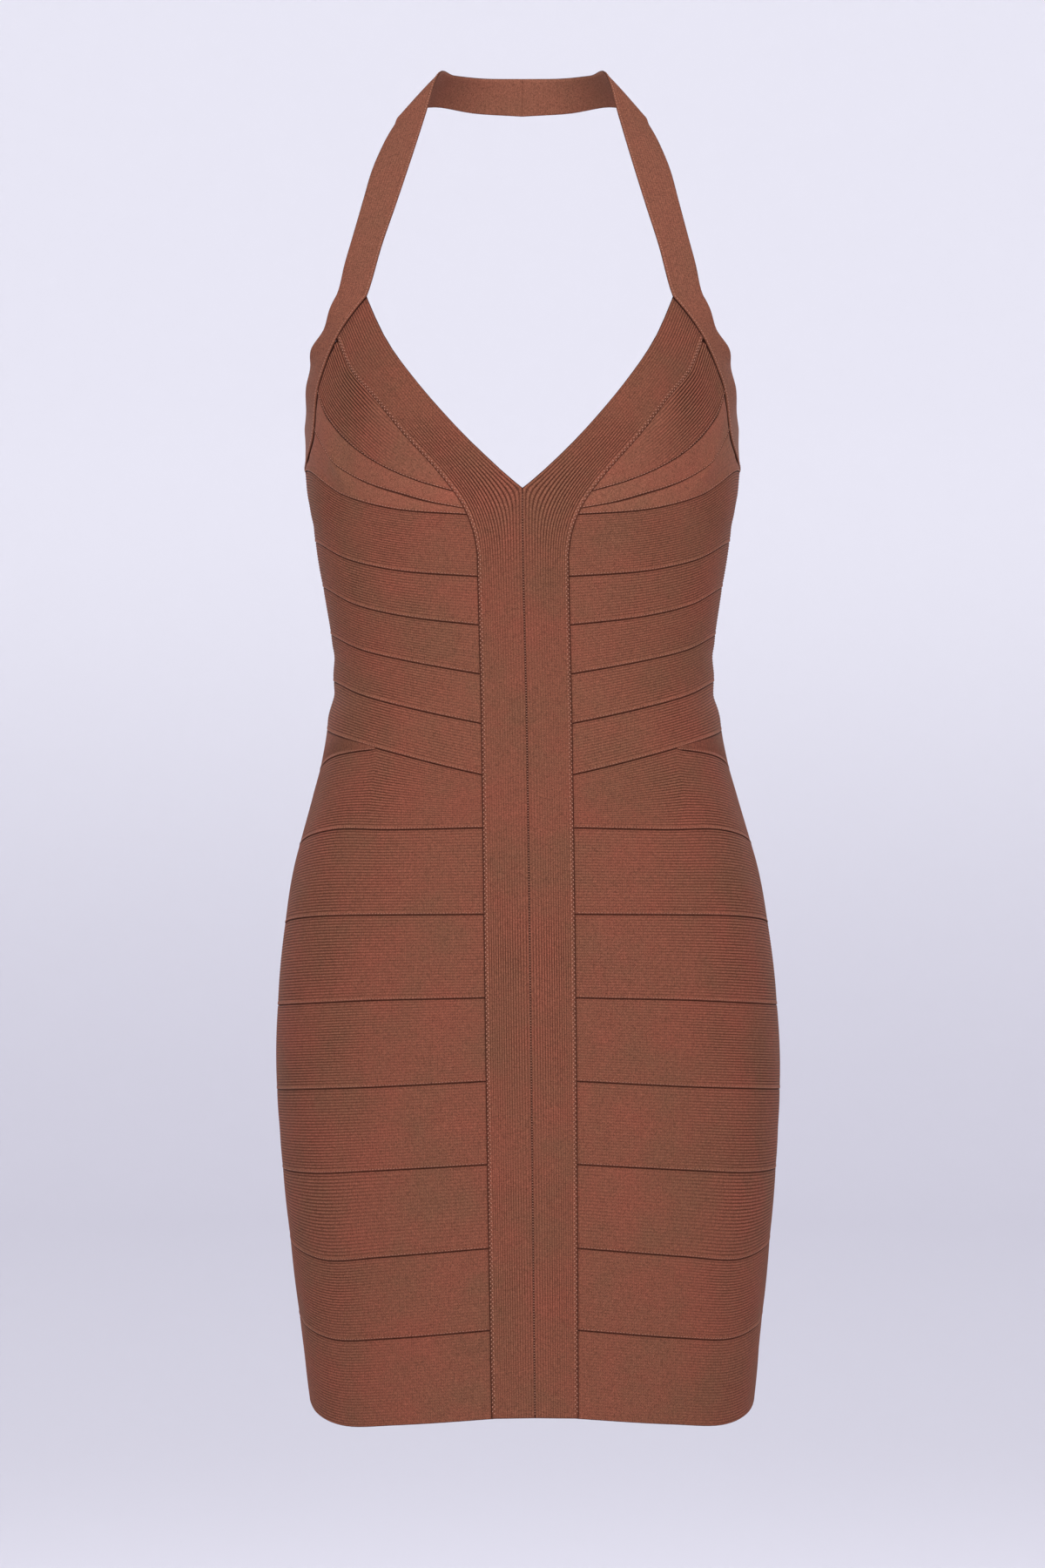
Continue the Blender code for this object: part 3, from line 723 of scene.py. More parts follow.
class RibKind(Enum):
    """Ribs of each kind of piece, which differ in pitch and in how tightly they're stretched."""

    SKIRT = Ribs()
    MIDRIFF = Ribs(flat_tone=0.31)
    WEDGE = Ribs(flat_tone=0.2)
    # real ones are a little under 1.8 mm apart; coarser and taller, so that each one shows
    # the cups' low flat tone gives them little painted groove shade, so they read lighter:
    # painted light where the cups catch more of the lamps
    UPPER_CUP = Ribs(pitch=2.0, height=0.75, sharpness=2.1, flat_tone=0.1)
    LOWER_CUPS = Ribs(flat_tone=0.05)
    LONG_STRIP = Ribs(pitch=1.6)
    STRAP = Ribs(pitch=1.6, height=0.3)


# ---- finishes --------------------------------------------------------------
def linear(colour: str) -> tuple[float, float, float, float]:
    """Linear RGBA of an sRGB hex colour."""
    parts = [int(colour[i:i + 2], 16) / 255 for i in (1, 3, 5)]
    return (*(c / 12.92 if c <= 0.04045 else ((c + 0.055) / 1.055) ** 2.4 for c in parts), 1.0)


def add_node(tree: bpy.types.NodeTree, kind: str, inputs: dict | None = None,
             **settings: object) -> bpy.types.Node:
    """Add a shader node.

    Args:
        tree: tree that it goes in.
        kind: the node's type.
        inputs: for each socket, a value or the output that feeds it.
        settings: the node's own properties.

    Returns:
        The new node.
    """
    node = tree.nodes.new(kind)
    for key, value in settings.items():
        setattr(node, key, value)
    for key, value in (inputs or {}).items():
        if isinstance(value, bpy.types.NodeSocket):
            tree.links.new(value, node.inputs[key])
        else:
            node.inputs[key].default_value = value
    return node


def empty_material(name: str) -> tuple[bpy.types.Material, bpy.types.NodeTree]:
    """A new node material, and its tree with no nodes in it.

    Args:
        name: the material's name.

    Returns:
        The material, and its node tree.
    """
    material = bpy.data.materials.new(name)
    material.use_nodes = True
    material.node_tree.nodes.clear()
    return material, material.node_tree


@dataclass(frozen=True)
class BandageKnit:
    """Rayon, nylon and elastane knitted into dense ribs.

    The eye sees matt cloth with fine grooves and seams darkened by painted shade, faint
    patches where the dye took differently, painted light and shade on its loops, and a
    fuzz of stray fibre.
    """

    name: str
    rib: str = "#7c4c3a"          # yarn on the ribs
    groove: str = "#36170e"       # painted shade of the yarn in the grooves between the ribs
    seam: str = "#2a0f08"         # painted shade in the seams, the tucked edges and beside the strap
    warm: str = "#7e4436"         # soft patches where the dye looks redder
    cool: str = "#6a4735"         # and browner
    patch_size: float = 42.0      # millimetres
    patch_share: float = 0.6      # how far the patches' colours replace the rib's
    loop: float = 1.5             # a real loop is 1.1 mm long; coarser, so that it shows
    loop_height: float = 0.12     # millimetres
    loop_tone: float = 0.1        # by how much painted light and shade make a loop lighter and darker
    fuzz: float = 1.0             # millimetres between the specks of stray fibre
    fuzz_tone: float = 0.36
    roughness: float = 0.88       # unpolished yarn scatters light widely
    specular: float = 0.1         # and mirrors hardly any
    sheen: float = 0.02           # stray fibre is a little lighter at grazing angles
    sheen_roughness: float = 0.5
    sheen_tint: str = "#d9a48c"

    def material(self) -> bpy.types.Material:
        """Build the knit's material.

        Returns:
            The material.
        """
        material, tree = empty_material(self.name)
        place = add_node(tree, "ShaderNodeTexCoord").outputs["Object"]
        relief = add_node(tree, "ShaderNodeAttribute", attribute_name="groove").outputs["Fac"]
        shade = add_node(tree, "ShaderNodeAttribute", attribute_name="shade").outputs["Fac"]

        # broad, faint patches of redder and browner yarn
        patches = add_node(tree, "ShaderNodeTexNoise", {
            "Vector": place, "Scale": 1 / (self.patch_size * MM), "Detail": 4.0,
            "Roughness": 0.6})
        spread = add_node(tree, "ShaderNodeMapRange", {
            "Value": patches.outputs["Fac"], "From Min": 0.35, "From Max": 0.65})
        tone = add_node(tree, "ShaderNodeMix", {
            0: spread.outputs["Result"], 6: linear(self.warm), 7: linear(self.cool)},
            data_type="RGBA")
        yarn = add_node(tree, "ShaderNodeMix", {
            0: self.patch_share, 6: linear(self.rib), 7: tone.outputs[2]}, data_type="RGBA")

        # painted shade: the grooves and the tucked edges are darkened in the colour
        painted_groove_shade = add_node(tree, "ShaderNodeMix", {
            0: relief, 6: yarn.outputs[2], 7: linear(self.groove)}, data_type="RGBA")
        shaded = add_node(tree, "ShaderNodeMix", {
            0: shade, 6: painted_groove_shade.outputs[2], 7: linear(self.seam)}, data_type="RGBA")

        # random specks of stray fibre, and painted light and shade that follows the loops' bump,
        # as a level on the colour
        specks = add_node(tree, "ShaderNodeTexNoise", {
            "Vector": place, "Scale": 1 / (self.fuzz * MM), "Detail": 3.0,
            "Roughness": 0.6})
        speck_level = add_node(tree, "ShaderNodeMapRange", {
            "Value": specks.outputs["Fac"], "From Min": 0.3, "From Max": 0.7,
            "To Min": 1 - self.fuzz_tone, "To Max": 1 + self.fuzz_tone})
        loops = self._loops(tree)
        level = add_node(tree, "ShaderNodeMath", {
            0: loops, 1: self.loop_tone, 2: speck_level.outputs["Result"]},
            operation="MULTIPLY_ADD")
        colour = add_node(tree, "ShaderNodeMix", {
            0: 1.0, 6: shaded.outputs[2], 7: level.outputs[0]},
            data_type="RGBA", blend_type="MULTIPLY")

        height = add_node(tree, "ShaderNodeMath", {0: loops, 1: specks.outputs["Fac"]},
                          operation="ADD")
        bump = add_node(tree, "ShaderNodeBump", {
            "Strength": 0.5, "Distance": self.loop_height * MM, "Height": height.outputs[0]})
        shader = add_node(tree, "ShaderNodeBsdfPrincipled", {
            "Base Color": colour.outputs[2], "Normal": bump.outputs["Normal"],
            "Roughness": self.roughness, "Sheen Weight": self.sheen,
            "Sheen Roughness": self.sheen_roughness, "Sheen Tint": linear(self.sheen_tint),
            "Specular IOR Level": self.specular})
        add_node(tree, "ShaderNodeOutputMaterial", {"Surface": shader.outputs["BSDF"]})
        return material

    def _loops(self, tree: bpy.types.NodeTree) -> bpy.types.NodeSocket:
        """Height of the V-shaped loops that run along each rib.

        Args:
            tree: the material's node tree.

        Returns:
            A socket that runs from -1 to 1 and back along each loop.
        """
        knit = add_node(tree, "ShaderNodeUVMap", uv_map="knit").outputs["UV"]
        parts = add_node(tree, "ShaderNodeSeparateXYZ", {0: knit})
        wale = add_node(tree, "ShaderNodeMath", {0: parts.outputs["Y"]}, operation="FRACT")
        away = add_node(tree, "ShaderNodeMath", {0: wale.outputs[0], 1: 0.5},
                        operation="SUBTRACT")
        slant = add_node(tree, "ShaderNodeMath", {0: away.outputs[0]}, operation="ABSOLUTE")
        loops = add_node(tree, "ShaderNodeMath", {
            0: parts.outputs["X"], 1: 1 / (self.loop * MM), 2: slant.outputs[0]},
            operation="MULTIPLY_ADD")
        turn = add_node(tree, "ShaderNodeMath", {0: loops.outputs[0], 1: 2 * np.pi},
                        operation="MULTIPLY")
        return add_node(tree, "ShaderNodeMath", {0: turn.outputs[0]},
                        operation="SINE").outputs[0]


@dataclass(frozen=True)
class SewingThread:
    """Spun polyester thread, whose stitches look a touch lighter and smoother than the knit."""

    name: str = "spun_polyester_thread"
    colour: str = "#b07c66"
    ply_colour: str = "#8a5a47"
    ply: float = 0.5              # millimetres between the turns of its plies
    roughness: float = 0.6
    specular: float = 0.35

    def material(self) -> bpy.types.Material:
        """Build the thread's material.

        Returns:
            The material.
        """
        material, tree = empty_material(self.name)
        place = add_node(tree, "ShaderNodeTexCoord").outputs["Object"]
        plies = add_node(tree, "ShaderNodeTexNoise", {
            "Vector": place, "Scale": 1 / (self.ply * MM), "Detail": 1.0})
        colour = add_node(tree, "ShaderNodeMix", {
            0: plies.outputs["Fac"], 6: linear(self.colour), 7: linear(self.ply_colour)},
            data_type="RGBA")
        shader = add_node(tree, "ShaderNodeBsdfPrincipled", {
            "Base Color": colour.outputs[2], "Roughness": self.roughness,
            "Specular IOR Level": self.specular})
        add_node(tree, "ShaderNodeOutputMaterial", {"Surface": shader.outputs["BSDF"]})
        return material


@dataclass(frozen=True)
class PaperBackdrop:
    """Seamless matt paper with painted light, paler toward its top and darker at its foot,
    showing only its faint tooth.
    """

    name: str = "seamless_matt_paper"
    foot: str = "#d6d5dd"
    head: str = "#f6f6fa"
    graded: tuple[float, float] = (-1.3, 0.45)     # metres; the darker foot below, the paler head above, as painted light
    tooth: float = 6.0            # millimetres; coarser than real, so that it shows at all
    tooth_height: float = 0.2     # millimetres
    roughness: float = 0.95
    specular: float = 0.1

    def material(self) -> bpy.types.Material:
        """Build the paper's material.

        Returns:
            The material.
        """
        material, tree = empty_material(self.name)
        place = add_node(tree, "ShaderNodeTexCoord").outputs["Object"]
        tooth = add_node(tree, "ShaderNodeTexNoise", {
            "Vector": place, "Scale": 1 / (self.tooth * MM), "Detail": 3.0})
        bump = add_node(tree, "ShaderNodeBump", {
            "Strength": 0.05, "Distance": self.tooth_height * MM,
            "Height": tooth.outputs["Fac"]})
        parts = add_node(tree, "ShaderNodeSeparateXYZ", {0: place})
        # painted light: the paper's colour grows paler with height, darker on the floor
        level = add_node(tree, "ShaderNodeMapRange", {
            "Value": parts.outputs["Z"], "From Min": self.graded[0],
            "From Max": self.graded[1]}, interpolation_type="SMOOTHSTEP")
        colour = add_node(tree, "ShaderNodeMix", {
            0: level.outputs["Result"], 6: linear(self.foot), 7: linear(self.head)},
            data_type="RGBA")
        shader = add_node(tree, "ShaderNodeBsdfPrincipled", {
            "Base Color": colour.outputs[2], "Roughness": self.roughness,
            "Normal": bump.outputs["Normal"], "Specular IOR Level": self.specular})
        add_node(tree, "ShaderNodeOutputMaterial", {"Surface": shader.outputs["BSDF"]})
        return material


# ---- meshes ----------------------------------------------------------------
def add_mesh(name: str, points: Array, faces: Faces,
             material: bpy.types.Material) -> bpy.types.Object:
    """Add a smooth mesh object.

    Args:
        name: its name.
        points: metres, in the frame's axes.
        faces: vertex numbers of each face.
        material: its finish.

    Returns:
        The object, in the scene.
    """
    mesh = bpy.data.meshes.new(name)
    mesh.from_pydata(points.tolist(), [], faces)
    mesh.shade_smooth()
    mesh.materials.append(material)
    obj = bpy.data.objects.new(name, mesh)
    bpy.context.scene.collection.objects.link(obj)
    return obj


def grid_faces(numbers: Array) -> Faces:
    """Quads over a grid of vertex numbers, wound to face outward."""
    quads = np.stack((numbers[:-1, :-1], numbers[1:, :-1], numbers[1:, 1:], numbers[:-1, 1:]),
                     axis=-1)
    return quads.reshape(-1, 4).tolist()


def rim_faces(outer: Array, inner: Array, kept: Array) -> Faces:
    """Faces that close a wall along one edge.

    Args:
        outer: vertex numbers along the outer face's edge.
        inner: vertex numbers along the inner face's edge.
        kept: for each of inner, which of outer it lies behind.

    Returns:
        Triangles and quads, in the order of the edge.
    """
    behind = np.searchsorted(kept, np.arange(len(outer)), side="right") - 1
    faces = []
    for k in range(len(outer) - 1):
        a, b = behind[k], behind[k + 1]
        faces.append([outer[k], outer[k + 1], inner[b]] + ([inner[a]] if a != b else []))
    return [[int(v) for v in face] for face in faces]


INSIDE_GROOVE = 0.2     # painted groove shade of the plain inner face, between a rib's and a groove's


class Border(Enum):
    """Edge of a piece that stitches run beside."""

    TOP = "top"
    BOTTOM = "bottom"
    START = "start"
    END = "end"


@dataclass
class ClothPiece(ABC):
    """One piece of knit, from the lines of its grid to its dressed mesh.

    The rows of its grid run downward and its columns run toward the back.
    """

    name: str
    side: Side
    cut: Cut
    finish: bpy.types.Material
    slot: str
    top: Edge = Edge.TUCKED
    bottom: Edge = Edge.LAPPED
    start: Edge = Edge.COVERED
    end: Edge = Edge.TUCKED
    ribs: Ribs = RibKind.SKIRT.value
    ribs_show: float = 1.0       # how far the ribs stand out, on top of the stretch
    ribs_run_down: bool = False
    relaxed: float = 0.94        # unworn length over worn length
    crown: float = 0.3           # how far the cloth swells between its seams
    crown_power: float = 0.3     # less makes it swell sooner from either end
    plain_steps: int = 60        # steps of the grid along the ribs
    plain_kept: int = 3          # of which the inner face has one in so many
    bare_end: float = 0.004      # share of a stitched line left bare at each end
    line_points: int = 240       # and points that it has
    stitched: list[bpy.types.Object] = field(default_factory=list)

    @abstractmethod
    def place(self, down: Array, round_: Array) -> tuple[Array, Array]:
        """Turn and drop at shares of the way down and round the piece."""

    def base(self, down: Array, round_: Array) -> tuple[Array, Array]:
        """Plain points and outward normals at shares of the way down and round.

        Args:
            down: shares of the way from the top edge to the bottom one.
            round_: shares of the way from the start to the end.

        Returns:
            The points, in millimetres, and the normals.
        """
        turn, drop = self.place(down, round_)
        figure = self.cut.figure
        normals = figure.normals(turn, drop)
        lift = figure.crease_heights(turn, drop)
        return figure.points(turn, drop) + normals * lift[..., None], normals

    def spans(self) -> tuple[float, float]:
        """Millimetres down and round the middle of the piece.

        Returns:
            The height, and the length.
        """
        middle = np.linspace(0.0, 1.0, MANY)
        halves = np.full_like(middle, 0.5)
        down, _ = self.base(middle[:, None], halves[:, None])
        round_, _ = self.base(halves[None, :], middle[None, :])
        return path_length(down[:, 0])[-1], path_length(round_[0])[-1]

    def lines(self) -> tuple[Lines, Lines]:
        """Lines of the rows and of the columns.

        Returns:
            The rows, and the columns.
        """
        down, round_ = self.spans()
        kept = self.ribs.steps * 2
        if self.ribs_run_down:
            ribs = self.ribs.count(round_ - self.start.depth - self.end.depth)
            return (Lines.between(self.top, self.bottom, self.plain_steps, 0.0,
                                  self.plain_kept),
                    Lines.between(self.start, self.end, ribs * self.ribs.steps, ribs, kept))
        ribs = self.ribs.count(down - self.top.depth - self.bottom.depth)
        return (Lines.between(self.top, self.bottom, ribs * self.ribs.steps, ribs, kept),
                Lines.between(self.start, self.end, self.plain_steps, 0.0, self.plain_kept))

    def wales(self, rows: Lines, columns: Lines, points: Array) -> Array:
        """Ribs counted across the piece at each point of its grid."""
        counted = columns.wale[None, :] if self.ribs_run_down else rows.wale[:, None]
        return np.broadcast_to(counted, points.shape[:2])

    def relief(self, down: Array, round_: Array) -> Array:
        """How far the ribs stand out at shares of the way down and round."""
        return self.cut.figure.rib_relief(*self.place(down, round_)) * self.ribs_show

    def grid(self) -> tuple[Array, Array, Lines, Lines]:
        """Places down and round of every grid point, and the lines that they lie on.

        Returns:
            Shares down, shares round, the rows and the columns.
        """
        rows, columns = self.lines()
        down = rows.places(self._heights(columns.share))
        points, _ = self.base(*np.meshgrid(rows.share, np.linspace(0, 1, SOME), indexing="ij"))
        round_ = columns.places(extents(points, 1)).T
        return down, round_, rows, columns

    def build(self) -> bpy.types.Object:
        """Returns:
            The piece, in the scene.
        """
        down, round_, rows, columns = self.grid()
        plain, normals = self.base(down, round_)
        swell = arch(down) * arch(round_) ** self.crown_power * self.crown
        wales = self.wales(rows, columns, plain)
        groove = self.ribs.groove(wales, self.relief(down, round_))
        lift = together(rows.lift[:, None], columns.lift[None, :]) + swell
        outer = plain + normals * (lift - self.ribs.height * groove)[..., None]

        kept = np.ix_(rows.kept, columns.kept)
        depth = together(rows.back[:, None] + CLOTH, columns.back[None, :] + CLOTH)
        depth = (depth - CLOTH + swell)[kept]
        inner = plain[kept] + normals[kept] * depth[..., None]

        faces = self._faces(outer.shape[:2], inner.shape[:2], rows.kept, columns.kept)
        points = np.concatenate((outer.reshape(-1, 3), inner.reshape(-1, 3)))
        obj = add_mesh("cloth_" + self.name, self.cut.figure.worn(points, self.side), faces,
                       self.finish)
        shade = np.maximum(rows.shade[:, None], columns.shade[None, :])
        self._paint(obj.data, groove, shade, inner.shape[:2])
        self._knit(obj.data, plain, wales, kept)
        self._declare(obj, plain)
        return obj

    def _faces(self, outer: tuple[int, int], inner: tuple[int, int], rows: Array,
               columns: Array) -> Faces:
        """Faces of the closed wall, outward on either side of the wearer.

        Args:
            outer: rows and columns of the outer face.
            inner: rows and columns of the inner face.
            rows: numbers of the rows that the inner face has too.
            columns: numbers of such columns.

        Returns:
            Vertex numbers of each face.
        """
        front = np.arange(outer[0] * outer[1]).reshape(outer)
        back = np.arange(inner[0] * inner[1]).reshape(inner) + front.size
        faces = grid_faces(front) + [face[::-1] for face in grid_faces(back)]
        for face_edge, back_edge, kept, turned in (
                (front[0], back[0], columns, False), (front[-1], back[-1], columns, True),
                (front[:, 0], back[:, 0], rows, True), (front[:, -1], back[:, -1], rows, False)):
            rim = rim_faces(face_edge, back_edge, kept)
            faces += rim if not turned else [face[::-1] for face in rim]
        return faces if self.side is Side.LEFT else [face[::-1] for face in faces]

    def _paint(self, mesh: bpy.types.Mesh, groove: Array, shade: Array,
               inner: tuple[int, int]) -> None:
        """Store how deep in a groove, and how far in shade, each point lies.

        Args:
            mesh: the piece's mesh.
            groove: how deep in a groove each point of the outer face lies.
            shade: how far in shade each of them lies.
            inner: rows and columns of the inner face.
        """
        for name, values, inside in (("groove", groove, INSIDE_GROOVE), ("shade", shade, 0.0)):
            stored = np.concatenate((values.ravel(), np.full(inner[0] * inner[1], inside)))
            mesh.attributes.new(name, "FLOAT", "POINT").data.foreach_set("value", stored)

    def _knit(self, mesh: bpy.types.Mesh, plain: Array, wales: Array, kept: tuple) -> None:
        """Store the knit's own directions: metres along the ribs, ribs across them.

        Args:
            mesh: the piece's mesh.
            plain: points of the piece's grid before ribs and edges, in millimetres.
            wales: ribs counted across the piece at each point.
            kept: the rows and columns that the inner face has too.
        """
        axis = 0 if self.ribs_run_down else 1
        steps = np.linalg.norm(np.diff(plain, axis=axis), axis=-1)
        along = np.cumsum(np.insert(steps, 0, 0.0, axis=axis), axis=axis) * MM
        pairs = np.stack((along, wales), axis=-1)
        pairs = np.concatenate((pairs.reshape(-1, 2), pairs[kept].reshape(-1, 2)))
        corners = np.zeros(len(mesh.loops), int)
        mesh.loops.foreach_get("vertex_index", corners)
        mesh.uv_layers.new(name="knit").data.foreach_set("uv", pairs[corners].ravel())

    def _declare(self, obj: bpy.types.Object, plain: Array) -> None:
        """Hang the piece on the root, hide the solid that it replaces, and log the size that it
        was cut to.

        Args:
            obj: the piece.
            plain: points of the piece's grid before ribs and edges, in millimetres.
        """
        sides = np.diff(plain, axis=0)[:, :-1], np.diff(plain, axis=1)[:-1]
        area = np.linalg.norm(np.cross(*sides), axis=-1).sum() * MM**2 * self.relaxed
        flat = self.cut_size(plain)
        area = min(area, flat[0] * flat[1])
        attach(obj, "root")
        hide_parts(self.name)
        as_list(self.stitched)
        LOG.info("%s: cut %.0f x %.0f mm, %.4f m2, %d faces", self.name, flat[0] / MM,
                 flat[1] / MM, area, len(obj.data.polygons))

    def cut_size(self, plain: Array) -> tuple[float, float]:
        """Width and length, in metres, of the rectangle that the piece is cut from.

        Args:
            plain: points of the piece's grid before ribs and edges, in millimetres.

        Returns:
            The width, and the length.
        """
        heights, lengths = extents(plain, 0) * MM, extents(plain, 1) * MM
        if self.ribs_run_down:
            return float(lengths.max()), float(heights.max() * self.relaxed)
        return float(heights.max()), float(lengths.max() * self.relaxed)

    def stitch_line(self, edge: Border, inset: float, lift: float) -> tuple[Array, Array]:
        """Points and normals of a line that runs beside one edge.

        Args:
            edge: the edge.
            inset: millimetres from the edge into the piece.
            lift: millimetres over the plain cloth.

        Returns:
            The points, lifted, and the normals there.
        """
        t = np.linspace(self.bare_end, 1 - self.bare_end, self.line_points)
        if edge in (Border.TOP, Border.BOTTOM):
            span = np.maximum(self._heights(t), 1e-6)
            share = np.minimum(inset * np.minimum(span / EDGE_ROOM, 1.0) / span, 0.5)
            places = (share if edge is Border.TOP else 1 - share), t
        else:
            share = np.full_like(t, inset / self.spans()[1])
            places = t, (share if edge is Border.START else 1 - share)
        points, normals = self.base(places[0][:, None], places[1][:, None])
        return (points + normals * lift)[:, 0], normals[:, 0]

    def _heights(self, round_: Array) -> Array:
        """Millimetres from the top edge to the bottom one at shares of the way round."""
        points, _ = self.base(*np.meshgrid(np.linspace(0, 1, FEW), round_, indexing="ij"))
        return extents(points, 0)


# ---- the pieces ------------------------------------------------------------
@dataclass
class Band(ClothPiece):
    """A band between two seams, from the long strip or the wedge's tip to the back."""

    upper: Edging | None = None         # its two seams, as their drops at each turn
    lower: Edging | None = None
    first_turn: float | None = None     # where it starts, or None at the long strip's edge
    strip_guess: float = 12.0           # turn near that edge, and rounds in which it's found
    passes: int = 5
    end: Edge = Edge.ROLLED

    def place(self, down: Array, round_: Array) -> tuple[Array, Array]:
        """Turn and drop at shares of the way down and round the band.

        Args:
            down: shares of the way from the top edge to the bottom one.
            round_: shares of the way from the start to the end.

        Returns:
            The turn, and the drop.
        """
        down, round_ = np.broadcast_arrays(down, round_)
        first = self.first_turn if self.first_turn is not None else self.strip_guess
        turn = first + (180.0 - first) * round_
        for _ in range(self.passes):
            drop = self.upper(turn) * (1 - down) + self.lower(turn) * down
            if self.first_turn is None:
                first = self.cut.strip_outer_turn(drop)
            turn = first + (180.0 - first) * round_
        return turn, drop


@dataclass
class Wedge(Band):
    """The band that opens at the side, with ribs that run together into its tip."""

    tip_fades: float = 30.0      # degrees over which the ribs rise from the tip
    tip_ribs: float = 0.1        # share of their height that they have there

    def relief(self, down: Array, round_: Array) -> Array:
        """How far the ribs stand out, less toward the tip.

        Args:
            down: shares of the way from the top edge to the bottom one.
            round_: shares of the way from the start to the end.

        Returns:
            The share of their height at each place.
        """
        turn, _ = self.place(down, round_)
        tip = ramp(self.first_turn, self.first_turn + self.tip_fades, turn)
        return super().relief(down, round_) * (self.tip_ribs + (1 - self.tip_ribs) * tip)


@dataclass
class PatchPiece(ClothPiece):
    """A piece that four lines bound."""

    edges: tuple[Edging, Edging, Edging, Edging] = ()

    def place(self, down: Array, round_: Array) -> tuple[Array, Array]:
        """Turn and drop at shares of the way down and round the piece.

        Args:
            down: shares of the way from the top edge to the bottom one.
            round_: shares of the way from the start to the end.

        Returns:
            The turn, and the drop.
        """
        down, round_ = np.broadcast_arrays(down, round_)
        patch = coons(self.edges, down, round_)
        return patch[..., 0], patch[..., 1]


@dataclass
class CupBand(PatchPiece):
    """A slanting band of a cup, from the long strip to the strap."""

    def cut_size(self, plain: Array) -> tuple[float, float]:
        """Width and length, in metres, of the rectangle round the slanted piece.

        Args:
            plain: points of the piece's grid before ribs and edges, in millimetres.

        Returns:
            The width, and the length.
        """
        points = plain.reshape(-1, 3) - plain.reshape(-1, 3).mean(axis=0)
        axes = np.linalg.svd(points, full_matrices=False)[2]
        length, width, _ = np.ptp(points @ axes.T, axis=0) * MM
        return float(width), float(length * self.relaxed)


@dataclass
class UpperCup(CupBand):
    """The upper cup band, whose ribs run midway between its lower seam and the long strip."""

    ribs: Ribs = RibKind.UPPER_CUP.value
    fine_rows: int = 150
    plain_steps: int = 170
    plain_kept: int = 4
    # the ribs are flattened toward the long strip: share of the way round, how far they show
    flattened: tuple[tuple[float, float], ...] = (
        (0.0, 0.15), (0.3, 0.25), (0.7, 1.25), (1.3, 1.3), (1.6, 0.9))
    rises_up: float = 0.9       # by how much that share grows from the foot to the tip
    run_on: float = 15.0        # of its own steps, by which a seam is drawn past its ends
    seam_points: int = 61

    def relief(self, down: Array, round_: Array) -> Array:
        """How far the ribs stand out, less toward the long strip low on the cup.

        Args:
            down: shares of the way from the top edge to the bottom one.
            round_: shares of the way from the start to the end.

        Returns:
            The share of their height at each place.
        """
        shares, shown = zip(*self.flattened)
        flattened = np.interp(round_ + self.rises_up * (1 - down), shares, shown)
        return super().relief(down, round_) * flattened

    def lines(self) -> tuple[Lines, Lines]:
        """Lines close enough together to carry ribs at a slant."""
        return (Lines.between(self.top, self.bottom, self.fine_rows, 0.0, self.plain_kept),
                Lines.between(self.start, self.end, self.plain_steps, 0.0, self.plain_kept))

    def wales(self, rows: Lines, columns: Lines, points: Array) -> Array:
        """Ribs counted along the way from the lower seam to the long strip.

        Args:
            rows: the lines of the rows.
            columns: the lines of the columns.
            points: points of the piece's grid, in millimetres.

        Returns:
            The count at each point: 0 midway between the two, and more toward the strip.
        """
        along = np.linspace(0, 1, self.seam_points)[None, :]
        lower, _ = self.base(np.ones_like(along), along)
        strip, _ = self.base(along, np.zeros_like(along))
        away = self._distance(points, lower[0]) - self._distance(points, strip[0])
        return away / 2 / self.ribs.pitch

    def _distance(self, points: Array, line: Array) -> Array:
        """Distance of every point from a line, drawn on straight past its ends.

        Args:
            points: points of the piece's grid, in millimetres.
            line: points along the line.

        Returns:
            Millimetres.
        """
        line = np.concatenate(([line[0] + (line[0] - line[1]) * self.run_on], line,
                               [line[-1] + (line[-1] - line[-2]) * self.run_on]))
        start, step = line[:-1], np.diff(line, axis=0)
        offset = points.reshape(-1, 1, 3) - start
        t = np.clip((offset * step).sum(-1) / (step * step).sum(-1), 0, 1)
        away = np.linalg.norm(offset - t[..., None] * step, axis=-1).min(axis=1)
        return away.reshape(points.shape[:-1])


